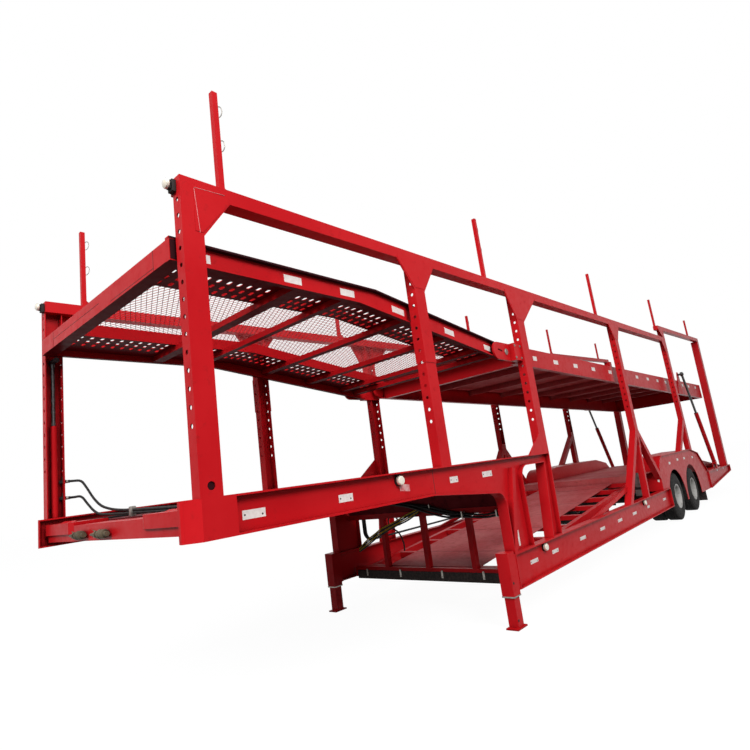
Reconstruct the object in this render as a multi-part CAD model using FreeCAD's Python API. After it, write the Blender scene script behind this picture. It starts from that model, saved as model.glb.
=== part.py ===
"""Two-deck car carrier semi-trailer with a gooseneck, tilting upper decks and tandem twin wheels.

Millimetres, +X to the rear, +Z up, the trailer's left side at -Y.
The origin is on the floor, halfway along the trailer, on its centre line.
Stations are measured rearwards from the trailer's front end.
"""
import FreeCAD
import Part
import math
import os

V = FreeCAD.Vector

# Overall sizes
overall_length = 15500.0
half_width = 1275.0
collar_wall = 5.0
side_outer = half_width - collar_wall
overrun = 50.0
fit_gap = 8.0
pin_gap = 0.08

# Plate and section sizes shared by the side frames
flange_width = 110.0
flange_thick = 12.0
web_thick = 10.0
web_recess = 50.0
corner_radius = 130.0
post_foot_lean = 110.0
post_foot_taper = 50.0

# Gooseneck and neck
gooseneck_top = 1540.0
gooseneck_depth = 225.0
seam_station = 2160.0
gooseneck_taper = 105.0
neck_front_station = 3270.0
neck_rear_station = 3690.0
link_depth = 100.0
doubler_length = 290.0
corner_chamfer_x = 75.0
corner_chamfer_y = 95.0
front_end_inset = 0.0
stiffener_thick = 60.0
stiffener_lean = 230.0
stiffener_drop = 110.0

# Front crossbeam with its raised covers and air couplings
crossbeam_inset = 70.0
crossbeam_length = 250.0
crossbeam_drop = 75.0
crossbeam_height = 115.0
cover_width = 580.0
cover_rise = 25.0
cover_proud = 20.0
cover_bevel = 60.0
coupling_radius = 32.0
coupling_length = 280.0
coupling_height = 45.0
coupling_place_shares = (-0.1034, 0.25)

# Gooseneck floor with its coupler plate and kingpin
floor_thick = 10.0
floor_member_pitch = 480.0
floor_member_width = 70.0
floor_member_depth = 80.0
floor_slope_length = 830.0
floor_slope_drop = 396.0
floor_slope_shares = ((0.0, 0.0), (0.602, 0.177), (0.880, 0.556), (1.0, 1.0))
kingpin_station = 1200.0
bolster_length = 1100.0
bolster_width = 1000.0
bolster_thick = 12.0
bolster_beam_height = 150.0
bolster_beam_width = 90.0
kingpin_neck_radius = 25.4
kingpin_flange_radius = 36.5
kingpin_flange_height = 20.0
kingpin_length = 84.0

# Lower side beams and well deck
lower_beam_top = 640.0
lower_beam_depth = 320.0
lower_beam_lap = 450.0
lower_doubler_length = 300.0
well_cross_station = 3530.0
well_cross_width = 60.0
well_cross_height = 120.0
upright_width = 60.0
upright_offset = 620.0
saddle_height = 60.0
strip_thick = 8.0
strip_half_width = 1120.0
strip_bottom = 300.0
strip_top = 400.0
well_plate_half_width = 650.0
well_plate_thick = 6.0
well_front_height = 442.0
well_rear_height = 880.0
well_stringer_width = 70.0
well_stringer_depth = 90.0
well_stringer_offset = 950.0
well_member_pitch = 560.0
well_member_height = 60.0
well_member_width = 60.0
well_tie_shares = (0.357, 0.69)
well_tie_height = 80.0

# Deck over the axles and the tail
axle_deck_lead = 620.0
axle_deck_inset = 170.0
axle_deck_top = 980.0
axle_deck_thick = 6.0
axle_stringer_offset = 600.0
axle_stringer_width = 80.0
axle_stringer_depth = 270.0
axle_member_pitch = 780.0
axle_member_width = 70.0
axle_member_depth = 110.0
tail_length = 2830.0
tail_front_bottom = 275.0
tail_rear_bottom = 440.0
tail_rear_top = 600.0
tail_member_pitch = 560.0
tail_member_width = 60.0
tail_member_depth = 90.0
tail_bar_length = 90.0
tail_track_inner = 440.0
tail_track_outer = 1060.0
tail_track_thick = 6.0

# Wheel arches
arch_top = 1220.0
arch_length = 3950.0
arch_slope_length = 1300.0
arch_knee_length = 670.0
arch_knee_drop = 110.0
arch_front_radius = 380.0
arch_skin = 10.0
arch_lip = 30.0
arch_side_thick = 8.0
arch_inner_wall = 715.0
arch_opening_radius = 620.0
arch_opening_height = 300.0
flap_inset = 520.0
flap_bar_height = 60.0
flap_bar_length = 40.0
flap_thick = 8.0
flap_ground_gap = 70.0

# Wheels, axles and suspension
axle_inset = 2880.0
axle_spacing = 1310.0
tyre_radius = 427.5
tyre_tread_width = 200.0
tyre_bead_width = 224.0
rim_radius = 203.0
rim_wall = 14.0
twin_spacing = 258.0
tyre_side_gap = 14.0
disc_thick = 16.0
hub_radius = 110.0
hub_overhang = 140.0
spindle_radius = 42.0
spindle_end = 1125.0
axle_radius = 64.0
axle_half_length = 700.0
drum_radius = 165.0
drum_length = 150.0
spring_width = 76.0
spring_offset = 600.0
spring_thick = 60.0
spring_length = 1240.0
spring_sag = 60.0
hanger_width = 90.0
hanger_length = 110.0
hanger_count = 3

# Landing legs
leg_station = 3185.0
leg_tube = 100.0
leg_sleeve = 125.0
leg_sleeve_top = 670.0
leg_sleeve_bottom = 275.0
leg_centre_inset = 68.0
foot_length = 180.0
foot_width = 126.0
foot_thick = 14.0

# Posts
front_post_station = 70.0
front_post_length = 140.0
front_post_width = 85.0
post_width = 95.0
post_wall = 8.0
post_hole_radius = 15.0
post_hole_pitch = 105.0
post_hole_inset = 42.0
post_hole_first = 389.0
post_hole_last = 40.0
lash_hole_radius = 24.0
lash_hole_height = 60.0
second_post_station = 2290.0
post_length = 150.0
third_post_station = 4260.0
third_post_length = 170.0
fourth_post_lead = 850.0
rear_post_inset = 470.0
rear_post_length = 170.0
rear_post_width = 160.0
rear_post_lean = 250.0
gusset_reach = 200.0
gusset_height = 265.0
third_gusset_reach = 420.0
third_gusset_height = 335.0
gusset_thick = 12.0
collar_bottom = 2450.0
collar_height = 390.0
splay_height = 1720.0
splay_strut = 95.0
front_splay_reach = 1065.0
rear_splay_reach = 745.0
rear_splay_foot = 830.0
mid_splay_drop = 300.0
mid_splay_reach = 115.0
mid_splay_strut = 65.0
stay_reach = 2390.0
stay_head_height = 850.0
stay_strut = 56.0
fifth_splay_height = 1860.0
fifth_splay_reach = 930.0
neck_gusset_reach = 330.0
neck_gusset_height = 220.0

# Top rails and stakes
rail_front_rise = 725.0
rail_rise = 250.0
rail_depth = 100.0
rear_rail_gap = 235.0
rear_rail_rise = 171.0
rear_rail_depth = 90.0
rear_rail_overhang = 260.0
stake_side = 40.0
stake_shares = (0.02707, 0.3214, 0.63668)
stake_height = 760.0
stake_gusset_length = 85.0
stake_gusset_height = 67.0
stake_gusset_thick = 8.0
rear_stake_shares = ((0.013825, 0.816), (0.797235, 0.618))

# Front upper deck
front_deck_outer = 1157.0
front_flange_width = 45.0
deck_flange_thick = 12.0
deck_web = 10.0
front_deck_start = 40.0
front_top_rise = 368.0
front_top_bend_station = 1880.0
front_top_drop = 284.0
front_low_rise = 215.0
front_low_bend_station = 1655.0
front_low_drop = 311.0
front_deck_beam_length = 100.0
front_deck_beam_drop = 15.0
front_deck_beam_height = 135.0
track_inner = 630.0
track_thick = 6.0
track_wall = 98.0
track_end_gap = 60.0
track_slot_pitch = 78.0
track_slot_length = 60.0
track_slot_width = 28.0
track_slot_first = 695.0
track_slot_row_pitch = 100.0
track_slot_row_count = 3
track_slot_margin = 60.0
track_below_top = 93.0
front_member_shares = (0.2424, 0.2513, 0.3687, 0.5732, 0.7424, 0.8914, 0.9571)
front_member_width = 60.0
front_member_depth = 50.0
mesh_bar = 24.0
mesh_across_count = 5
mesh_along_count = 12

# Rear upper deck
rear_deck_outer = 1100.0
rear_flange_width = 65.0
rear_front_rise = 113.0
rear_front_drop = 113.0
rear_top_fall = 65.0
rear_low_fall = 192.0
rear_deck_inset = 440.0
rear_member_pitch = 1220.0
rear_member_width = 60.0
rear_member_depth = 85.0
rear_plate_thick = 5.0
rear_plate_reach = 180.0
rear_slot_row = 990.0
rear_slot_pitch = 156.0

# Deck hinges at the third posts
hinge_station = 4000.0
hinge_height = 2715.0
hinge_spacing = 345.0
hinge_step = 20.0
ear_radius = 95.0
ear_width = 28.0
hinge_pin_radius = 30.0
bracket_thick = 20.0
bracket_height = 200.0
nose_station = 3815.0
hinge_block_length = 170.0
hinge_block_proud = 60.0
keyhole_width = 18.0
keyhole_length = 100.0

# Lift cylinders
front_barrel_radius = 28.0
front_barrel_share = 0.5761
front_rod_radius = 16.0
front_barrel_floor = 20.0
front_overlap_share = 0.1108
lift_bar_radius = 22.0
lift_bar_inner = 1117.0
lift_bar_gap = 14.0
cylinder_foot_inset = 1530.0
cylinder_foot_height = 760.0
cylinder_head_inset = 2780.0
cylinder_head_rise = 143.0
cylinder_offset = 1195.0
barrel_radius = 45.0
barrel_length = 1430.0
rod_radius = 25.0
eye_radius = 50.0
eye_width = 54.0
eye_pin_radius = 24.0
lug_thick = 14.0
lug_radius = 60.0
neck_radius = 24.0
neck_length = 75.0
head_gap = 1.0
head_plate_thick = 15.0
head_plate_reach = 330.0
head_plate_rise = 60.0

# Lamps and hoses
lamp_radius = 36.0
lamp_drop = 64.0
lamp_length = 20.0
lamp_arm_radius = 14.0
lamp_arm_length = 30.0
front_lamp_arm_length = 46.0
lamp_front_station = 1750.0
lamp_middle_station = 3965.0
lamp_rear_station = 7610.0
hose_radius = 9.0
hose_gap = 6.0
hose_count = 3
hose_inset = 90.0
hose_bend = 120.0
hose_knee_start = 3300.0
hose_knee_end = 3660.0
hose_knee_height = 1090.0


def at(station):
    """X of a station measured rearwards from the trailer's front end."""
    return station - overall_length / 2


def box(station0, station1, y0, y1, z0, z1):
    corner = V(at(min(station0, station1)), min(y0, y1), min(z0, z1))
    return Part.makeBox(abs(station1 - station0), abs(y1 - y0), abs(z1 - z0), corner)


def side_face(points):
    """Face in the XZ plane from (station, z) points."""
    corners = [V(at(s), 0, z) for s, z in points]
    return Part.Face(Part.makePolygon(corners + corners[:1]))


def side_plate(points, y0, y1):
    """Plate cut to (station, z) points, from y0 to y1."""
    return thick(side_face(points), y0, y1)


def thick(face, y0, y1):
    low = min(y0, y1)
    return face.translated(V(0, low, 0)).extrude(V(0, abs(y1 - y0), 0))


def plan_plate(points, z0, z1):
    """Plate cut to (station, y) points, from z0 to z1."""
    corners = [V(at(s), y, z0) for s, y in points]
    return Part.Face(Part.makePolygon(corners + corners[:1])).extrude(V(0, 0, z1 - z0))


def strut(start, end, deep, y0, y1):
    """Straight bar between two (station, z) points, deep across its length."""
    along = V(end[0] - start[0], 0, end[1] - start[1])
    along.normalize()
    dx = -along.z * deep / 2
    dz = along.x * deep / 2
    points = [(start[0] + dx, start[1] + dz), (end[0] + dx, end[1] + dz),
              (end[0] - dx, end[1] - dz), (start[0] - dx, start[1] - dz)]
    return side_plate(points, y0, y1)


def cross_pin(station, z, radius, y0, y1):
    """Round bar along Y."""
    return Part.makeCylinder(radius, abs(y1 - y0), V(at(station), min(y0, y1), z), V(0, 1, 0))


def rod_between(start, end, radius):
    return Part.makeCylinder(radius, (end - start).Length, start, end - start)


def fused(shapes):
    whole = shapes[0]
    if len(shapes) > 1:
        whole = whole.fuse(shapes[1:])
    return whole.removeSplitter()


def mirrored(shape):
    return shape.mirror(V(0, 0, 0), V(0, 1, 0))


def both_sides(shape):
    return [shape, mirrored(shape)]


def rounded(face, radius, keep):
    """The face's extrusion edges rounded where keep(x, z) says so, returned as a face."""
    solid = face.extrude(V(0, overrun, 0))
    edges = []
    for edge in solid.Edges:
        a, b = edge.Vertexes[0].Point, edge.Vertexes[-1].Point
        upright = abs(a.x - b.x) < pin_gap and abs(a.z - b.z) < pin_gap
        if upright and keep(a.x, a.z):
            edges.append(edge)
    solid = solid.makeFillet(radius, edges)
    return [f for f in solid.Faces if all(abs(v.Point.y) < pin_gap for v in f.Vertexes)][0]


def flanged(face):
    """Side frame of a web with a flange all round its outline, on the left side."""
    outer = -side_outer
    inner = outer + flange_width
    core = face.makeOffset2D(-flange_thick, 0, False, False, False)
    whole = thick(face, outer, inner)
    outside = thick(core, outer - overrun, outer + web_recess)
    inside = thick(core, outer + web_recess + web_thick, inner + overrun)
    return whole.cut([outside, inside])


def save(node, shapes):
    solids = []
    for shape in shapes:
        solids += shape.Solids
    Part.makeCompound(solids).exportStep("parts/" + node + ".step")


# Shared heights and places
gooseneck_bottom = gooseneck_top - gooseneck_depth
neck_bottom = gooseneck_bottom - gooseneck_taper
lower_beam_bottom = lower_beam_top - lower_beam_depth
arch_rear_station = overall_length - tail_length
arch_front_station = arch_rear_station - arch_length
arch_slope_station = arch_rear_station - arch_slope_length
arch_knee_station = arch_rear_station - arch_knee_length
lower_beam_end_station = arch_front_station + lower_beam_lap
axle_deck_station = arch_front_station - axle_deck_lead
axle_deck_end_station = arch_rear_station - axle_deck_inset
flap_station = arch_rear_station - flap_inset
axle_station = arch_rear_station - axle_inset
fourth_post_station = arch_front_station - fourth_post_lead
fifth_post_station = arch_slope_station
rear_post_station = overall_length - rear_post_inset
rail_end_station = fifth_post_station + post_length
third_post_end = third_post_station + third_post_length
rail_front_top = hinge_height + rail_front_rise
rear_rail_front_top = rail_front_top + rail_rise + rear_rail_gap
rear_rail_rear_top = rear_rail_front_top + rear_rail_rise
front_deck_top = hinge_height + front_top_rise
front_deck_low = hinge_height + front_low_rise
rear_hinge_station = hinge_station + hinge_spacing
rear_hinge_height = hinge_height + hinge_step
lift_reach = front_deck_low - lift_bar_gap - lift_bar_radius - gooseneck_top
front_barrel_length = lift_reach * front_barrel_share
front_rod_overlap = lift_reach * front_overlap_share
rear_deck_front_top = rear_hinge_height + rear_front_rise
rear_deck_rear_top = rear_deck_front_top - rear_top_fall
rear_deck_front_low = rear_hinge_height - rear_front_drop
rear_deck_rear_low = rear_deck_front_low - rear_low_fall
rear_deck_end_station = overall_length - rear_deck_inset
cylinder_foot_station = overall_length - cylinder_foot_inset
cylinder_head_station = overall_length - cylinder_head_inset
floor_top = gooseneck_bottom + bolster_beam_height + floor_thick
front_web = front_deck_outer - front_flange_width
axle_stations = (axle_station, axle_station + axle_spacing)
arch_side_inner = side_outer - arch_lip - arch_side_thick
outer_tyre = arch_side_inner - tyre_side_gap - tyre_bead_width / 2
inner_tyre = outer_tyre - twin_spacing
inner_face = side_outer - flange_width


def rail_top_at(station):
    share = (station - front_post_station) / (rail_end_station - front_post_station)
    return rail_front_top + rail_rise * share


def rail_bottom_at(station):
    return rail_top_at(station) - rail_depth


def rear_rail_top_at(station):
    start = fifth_post_station - rear_rail_overhang
    share = (station - start) / (rear_post_top_end() - start)
    return rear_rail_front_top + (rear_rail_rear_top - rear_rail_front_top) * share


def rear_post_top_end():
    return rear_post_station + rear_post_length + rear_post_lean


def tail_top_at(station):
    share = (station - arch_rear_station) / (overall_length - arch_rear_station)
    return lower_beam_top + (tail_rear_top - lower_beam_top) * share


def well_top_at(station):
    share = (station - well_cross_station) / (axle_deck_station - well_cross_station)
    return well_front_height + (well_rear_height - well_front_height) * share


def front_deck_top_at(station):
    share = max(0.0, (station - front_top_bend_station) / (hinge_station - front_top_bend_station))
    return front_deck_top - front_top_drop * share


def front_deck_low_at(station):
    share = max(0.0, (station - front_low_bend_station) / (hinge_station - front_low_bend_station))
    return front_deck_low - front_low_drop * share


def rear_deck_share(station):
    return (station - rear_hinge_station) / (rear_deck_end_station - rear_hinge_station)


def rear_deck_top_at(station):
    return rear_deck_front_top + (rear_deck_rear_top - rear_deck_front_top) * rear_deck_share(station)


def rear_deck_low_at(station):
    return rear_deck_front_low + (rear_deck_rear_low - rear_deck_front_low) * rear_deck_share(station)


def cylinder_head_height():
    return rear_deck_top_at(cylinder_head_station) + cylinder_head_rise


def front_members():
    """Stations of the front deck's crossmembers."""
    return [front_deck_start + (hinge_station - front_deck_start) * share for share in front_member_shares]


def spread(start, end, pitch):
    """Even places from start to end, about one pitch apart."""
    count = max(1, round((end - start) / pitch))
    return [start + (end - start) * i / count for i in range(count + 1)]


def gooseneck_side():
    neck_top = gooseneck_top - link_depth
    outline = [(front_end_inset, gooseneck_bottom), (seam_station, gooseneck_bottom),
               (neck_front_station, neck_bottom), (neck_front_station, lower_beam_top),
               (neck_rear_station, lower_beam_top), (neck_rear_station, neck_top),
               (third_post_station, neck_top), (third_post_station - post_foot_lean, lower_beam_top),
               (third_post_end - post_foot_taper, lower_beam_top), (third_post_end, gooseneck_top),
               (front_end_inset, gooseneck_top)]

    def corner(x, z):
        at_neck = abs(x - at(neck_front_station)) < pin_gap and z > lower_beam_top + pin_gap
        at_window = abs(x - at(neck_rear_station)) < pin_gap and z > lower_beam_top + pin_gap
        return at_neck or at_window
    side = flanged(rounded(side_face(outline), corner_radius, corner))
    outer = -side_outer
    doubler = box(front_end_inset, front_end_inset + doubler_length, outer, outer + web_recess,
                  gooseneck_bottom, gooseneck_top)
    stiff_top = gooseneck_top - stiffener_drop
    foot = (neck_front_station + stiffener_thick / 2, lower_beam_top)
    head = (foot[0] + stiffener_lean, stiff_top)
    stiffener = strut(foot, head, stiffener_thick, outer, outer + web_recess)
    gusset = side_plate([(third_post_station - neck_gusset_reach, gooseneck_top),
                         (third_post_station, gooseneck_top),
                         (third_post_station, gooseneck_top + neck_gusset_height)],
                        outer, outer + gusset_thick)
    chamfer = plan_plate([(front_end_inset - overrun, outer - overrun),
                          (front_end_inset + corner_chamfer_x + overrun * corner_chamfer_x / corner_chamfer_y,
                           outer - overrun),
                          (front_end_inset + corner_chamfer_x, outer),
                          (front_end_inset, outer + corner_chamfer_y),
                          (front_end_inset - overrun, outer + corner_chamfer_y)],
                         gooseneck_bottom - overrun, gooseneck_top + overrun)
    return fused([side, doubler, stiffener.common(box(neck_front_station, neck_rear_station, outer,
                                                      outer + web_recess, lower_beam_top,
                                                      gooseneck_top)), gusset]).cut(chamfer)


def front_crossbeam():
    front = front_end_inset + crossbeam_inset
    top = gooseneck_top - crossbeam_drop
    bottom = top - crossbeam_height
    beam = box(front, front + crossbeam_length, -inner_face, inner_face, bottom, top)
    covers = []
    for side in (-1, 1):
        low = side * (inner_face - cover_width)
        raised = plan_plate([(front - cover_proud, side * inner_face),
                             (front - cover_proud, low + side * cover_bevel),
                             (front, low), (front + crossbeam_length, low),
                             (front + crossbeam_length, side * inner_face)],
                            top - cover_bevel, top + cover_rise)
        covers.append(raised)
    return fused([beam] + covers)


def air_couplings():
    front = front_end_inset + crossbeam_inset
    z = gooseneck_top - crossbeam_drop - crossbeam_height + coupling_height
    pieces = []
    for share in coupling_place_shares:
        y = inner_face * share
        body = Part.makeCylinder(coupling_radius, coupling_length, V(at(front) - coupling_radius, y, z),
                                 V(0, 1, 0))
        stem = Part.makeCylinder(coupling_radius / 2, coupling_radius,
                                 V(at(front) - coupling_radius, y + coupling_length / 2, z), V(1, 0, 0))
        pieces.append(fused([body, stem]).cut(box(front, front + overrun, y - overrun,
                                                  y + coupling_length + overrun, z - overrun, z + overrun)))
    return pieces


def gooseneck_floor():
    """Floor plate with its slope behind, the members under it, coupler plate and kingpin."""
    line = [(front_end_inset + crossbeam_inset + crossbeam_length, floor_top)]
    slope = well_cross_station - floor_slope_length
    line += [(slope + floor_slope_length * run, floor_top - floor_slope_drop * drop)
             for run, drop in floor_slope_shares]
    line.append((well_cross_station + well_cross_width, floor_top - floor_slope_drop))
    pieces = [side_band(line, floor_thick, -inner_face, inner_face)]
    under = floor_top - floor_thick
    for station in (seam_station, seam_station + floor_member_pitch):
        pieces.append(box(station, station + floor_member_width, -inner_face, inner_face,
                          under - floor_member_depth, under))
    return fused(pieces + coupler_bolster())


def coupler_bolster():
    front = kingpin_station - bolster_length / 2
    rear = kingpin_station + bolster_length / 2
    bottom = gooseneck_bottom - bolster_thick
    pieces = [box(front, rear, -bolster_width / 2, bolster_width / 2, bottom, gooseneck_bottom)]
    for station in (front, kingpin_station - bolster_beam_width / 2, rear - bolster_beam_width):
        pieces.append(box(station, station + bolster_beam_width, -inner_face, inner_face,
                          gooseneck_bottom, gooseneck_bottom + bolster_beam_height))
    tip = V(at(kingpin_station), 0, bottom - kingpin_length)
    pieces.append(Part.makeCylinder(kingpin_neck_radius, kingpin_length, tip))
    pieces.append(Part.makeCylinder(kingpin_flange_radius, kingpin_flange_height, tip))
    return pieces


def neck_crossmember():
    """Front crossmember of the well with the bars that carry the gooseneck floor's rear edge."""
    z0 = lower_beam_bottom
    z1 = z0 + well_cross_height
    z3 = floor_top - floor_slope_drop - floor_thick
    z2 = z3 - saddle_height
    station = well_cross_station
    rear = station + well_cross_width
    reach = side_outer - web_recess - web_thick
    pieces = [box(station, rear, -inner_face, inner_face, z0, z1), box(station, rear, -reach, reach, z2, z3)]
    for y in (-upright_offset, 0, upright_offset):
        pieces.append(box(station, rear, y - upright_width / 2, y + upright_width / 2, z1, z2))
    return fused(pieces)


def front_strip():
    """Rubber strip that hangs in front of the well's front crossmember."""
    return box(well_cross_station - strip_thick, well_cross_station, -strip_half_width, strip_half_width,
               strip_bottom, strip_top)


def lower_beam():
    outline = [(neck_front_station, lower_beam_bottom), (lower_beam_end_station, lower_beam_bottom),
               (lower_beam_end_station, lower_beam_top), (neck_front_station, lower_beam_top)]
    side = flanged(side_face(outline))
    outer = -side_outer
    plate = box(neck_front_station, neck_front_station + lower_doubler_length,
                outer + web_recess - gusset_thick, outer + web_recess, lower_beam_bottom, lower_beam_top)
    return fused([side, plate])


def well_band(start, end, above, depth, y0, y1):
    """Band that follows the well deck's slope, its top below the plate's surface."""
    tops = [(s, well_top_at(s) - above) for s in (start, end)]
    return side_band(tops, depth, y0, y1)


def well_deck_frame():
    start = well_cross_station + well_cross_width
    end = axle_deck_station
    under = well_plate_thick
    pieces = []
    for side in (-1, 1):
        y = side * well_stringer_offset
        half = well_stringer_width / 2
        pieces.append(well_band(start, end, under, well_stringer_depth, y - half, y + half))
    for station in spread(start, end - well_member_width, well_member_pitch):
        pieces.append(well_band(station, station + well_member_width, under, well_member_height,
                                -well_stringer_offset, well_stringer_offset))
    for share in well_tie_shares:
        station = start + (end - start) * share
        rear = station + well_member_width
        z = lower_beam_bottom + flange_thick
        pieces.append(box(station, rear, -inner_face, inner_face, z, z + well_tie_height))
        for side in (-1, 1):
            y = side * well_stringer_offset
            top = well_top_at(station) - under - well_stringer_depth / 2
            pieces.append(box(station, rear, y - well_member_width / 2, y + well_member_width / 2, z, top))
    return fused(pieces)


def well_deck_plate():
    start = well_cross_station + well_cross_width
    return well_band(start, axle_deck_station, 0, well_plate_thick, -well_plate_half_width,
                     well_plate_half_width)


def axle_deck():
    start = axle_deck_station
    end = axle_deck_end_station
    top = axle_deck_top
    plate_bottom = top - axle_deck_thick
    plate = box(start, end, -arch_inner_wall, arch_inner_wall, plate_bottom, top)
    front = box(start, start + axle_member_width, -inner_face, inner_face,
                plate_bottom - axle_member_depth, plate_bottom)
    wings = box(start, arch_front_station, -inner_face, inner_face, plate_bottom, top)
    pieces = [plate, front, wings]
    for side in (-1, 1):
        pieces.append(box(start, end, side * (axle_stringer_offset - axle_stringer_width / 2),
                          side * (axle_stringer_offset + axle_stringer_width / 2),
                          plate_bottom - axle_stringer_depth, plate_bottom))
    for station in spread(start + axle_member_pitch, end - axle_member_width, axle_member_pitch):
        pieces.append(box(station, station + axle_member_width, -arch_inner_wall, arch_inner_wall,
                          plate_bottom - axle_member_depth, plate_bottom))
    return fused(pieces)


def tail_beam():
    outline = [(arch_rear_station, tail_front_bottom), (overall_length, tail_rear_bottom),
               (overall_length, tail_rear_top), (arch_rear_station, lower_beam_top)]
    return flanged(side_face(outline))


def tail_frame():
    pieces = both_sides(tail_beam())
    end = overall_length
    pieces.append(box(end - tail_bar_length, end, -inner_face, inner_face, tail_rear_bottom, tail_rear_top))
    for station in spread(arch_rear_station, end - tail_member_pitch, tail_member_pitch):
        line = [(s, tail_top_at(s)) for s in (station, station + tail_member_width)]
        pieces.append(side_band(line, tail_member_depth, -inner_face, inner_face))
    for side in (-1, 1):
        inner = side * tail_track_inner
        pieces.append(ramp_band(axle_deck_end_station, arch_rear_station, inner, side * arch_inner_wall))
        pieces.append(ramp_band(arch_rear_station, end, inner, side * tail_track_outer))
        y = side * axle_stringer_offset
        low = end - tail_bar_length
        under = ramp_top_at(low) - tail_track_thick
        pieces.append(side_plate([(axle_deck_end_station, axle_deck_top - tail_track_thick), (low, under),
                                  (low, under - tail_member_depth), (axle_deck_end_station, plate_low())],
                                 y - axle_stringer_width / 2, y + axle_stringer_width / 2))
    return fused(pieces)


def ramp_band(start, end, y0, y1):
    """Length of the sloping wheel track over the tail."""
    return side_band([(s, ramp_top_at(s)) for s in (start, end)], tail_track_thick, y0, y1)


def plate_low():
    return axle_deck_top - axle_deck_thick - axle_stringer_depth


def ramp_top_at(station):
    share = (station - axle_deck_end_station) / (overall_length - axle_deck_end_station)
    return axle_deck_top + (tail_rear_top + tail_track_thick / 2 - axle_deck_top) * share


def arch_outline():
    return [(arch_front_station, lower_beam_top), (arch_front_station, arch_top),
            (arch_slope_station, arch_top), (arch_knee_station, arch_top - arch_knee_drop),
            (arch_rear_station, lower_beam_top)]


def arch_face():
    def front(x, z):
        return z > lower_beam_top + pin_gap and x < at(arch_front_station) + pin_gap

    def rear(x, z):
        return lower_beam_top + pin_gap < z and x > at(arch_slope_station) - pin_gap
    face = rounded(side_face(arch_outline()), arch_front_radius, front)
    return rounded(face, corner_radius, rear)


def wheel_arch():
    outer = -side_outer
    face = arch_face()
    core = face.makeOffset2D(-arch_skin, 0, False, False, False)
    skin = thick(face, outer, -arch_inner_wall)
    hollow = thick(core, outer - overrun, -arch_inner_wall + overrun)
    floor_cut = box(arch_front_station + arch_skin, arch_rear_station - arch_skin, outer - overrun,
                    -arch_inner_wall + overrun, lower_beam_top - overrun, lower_beam_top + arch_skin + fit_gap)
    skin = skin.cut([hollow, floor_cut])
    side_y0 = outer + arch_lip
    side_y1 = side_y0 + arch_side_thick
    lower = side_plate([(lower_beam_end_station, lower_beam_top), (lower_beam_end_station, arch_opening_height),
                        (arch_rear_station, tail_front_bottom), (arch_rear_station, lower_beam_top)],
                       side_y0, side_y1)
    side = thick(face, side_y0, side_y1).fuse(lower)
    holes = [cross_pin(s, arch_opening_height, arch_opening_radius, side_y0 - overrun, side_y1 + overrun)
             for s in axle_stations]
    side = side.cut(holes)
    inner = thick(face, -arch_inner_wall, -arch_inner_wall - arch_side_thick)
    bar = box(flap_station, flap_station + flap_bar_length, side_y1, -arch_inner_wall - arch_side_thick,
              lower_beam_top, lower_beam_top + flap_bar_height)
    return fused([skin, side, inner, bar])


def mudflap():
    front = flap_station - flap_thick
    return box(front, flap_station, -arch_side_inner + tyre_side_gap, -arch_inner_wall - arch_side_thick
               - tyre_side_gap, flap_ground_gap, lower_beam_top + flap_bar_height)


def tyre_pair(station, side):
    rings = []
    for offset in (outer_tyre, inner_tyre):
        half_tread = tyre_tread_width / 2
        half_bead = tyre_bead_width / 2
        y = side * offset
        profile = [(rim_radius, y - half_bead), (tyre_radius, y - half_tread),
                   (tyre_radius, y + half_tread), (rim_radius, y + half_bead)]
        rings.append(turned(station, profile))
    return rings


def turned(station, profile):
    """Ring around an axle from (radius, y) points."""
    corners = [V(at(station), y, tyre_radius + r) for r, y in profile]
    face = Part.Face(Part.makePolygon(corners + corners[:1]))
    return face.revolve(V(at(station), 0, tyre_radius), V(0, 1, 0), 360)


def wheel_rims(station, side):
    middle = side * (outer_tyre + inner_tyre) / 2
    inner_edge = side * (inner_tyre - tyre_bead_width / 2)
    outer_edge = side * (outer_tyre + tyre_bead_width / 2)
    barrel_in = rim_radius - rim_wall
    barrel = turned(station, [(rim_radius, inner_edge), (rim_radius, outer_edge), (barrel_in, outer_edge),
                              (barrel_in, inner_edge)])
    bore = spindle_radius + pin_gap
    disc_edge = barrel_in + rim_wall / 2
    disc_in = middle - disc_thick / 2
    disc_out = middle + disc_thick / 2
    disc = turned(station, [(bore, disc_in), (disc_edge, disc_in), (disc_edge, disc_out), (bore, disc_out)])
    hub_out = middle + side * hub_overhang
    hub = turned(station, [(bore, middle), (hub_radius, middle), (hub_radius, hub_out), (bore, hub_out)])
    drum_in = middle - side * drum_length
    drum = turned(station, [(bore, drum_in), (drum_radius, drum_in), (drum_radius, middle), (bore, middle)])
    return fused([barrel, disc, hub, drum])


def axle(station):
    beam = cross_pin(station, tyre_radius, axle_radius, -axle_half_length, axle_half_length)
    spindle = cross_pin(station, tyre_radius, spindle_radius, -spindle_end, spindle_end)
    return fused([beam, spindle])


def suspension_side():
    """Leaf springs and their hangers under the left stringer."""
    y0 = -spring_offset - spring_width / 2
    y1 = y0 + spring_width
    pieces = []
    spring_z = tyre_radius + axle_radius
    for station in axle_stations:
        half = spring_length / 2
        pieces.append(side_plate([(station - half, spring_z + spring_sag), (station, spring_z),
                                  (station + half, spring_z + spring_sag),
                                  (station + half, spring_z + spring_sag + spring_thick / 2),
                                  (station, spring_z + spring_thick),
                                  (station - half, spring_z + spring_sag + spring_thick / 2)], y0, y1))
    h0 = -spring_offset - hanger_width / 2
    first = axle_stations[0] - axle_spacing / 2
    for i in range(hanger_count):
        middle = first + i * axle_spacing
        pieces.append(box(middle - hanger_length, middle + hanger_length, h0, h0 + hanger_width,
                          spring_z + spring_sag, plate_low()))
    return fused(pieces)


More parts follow.
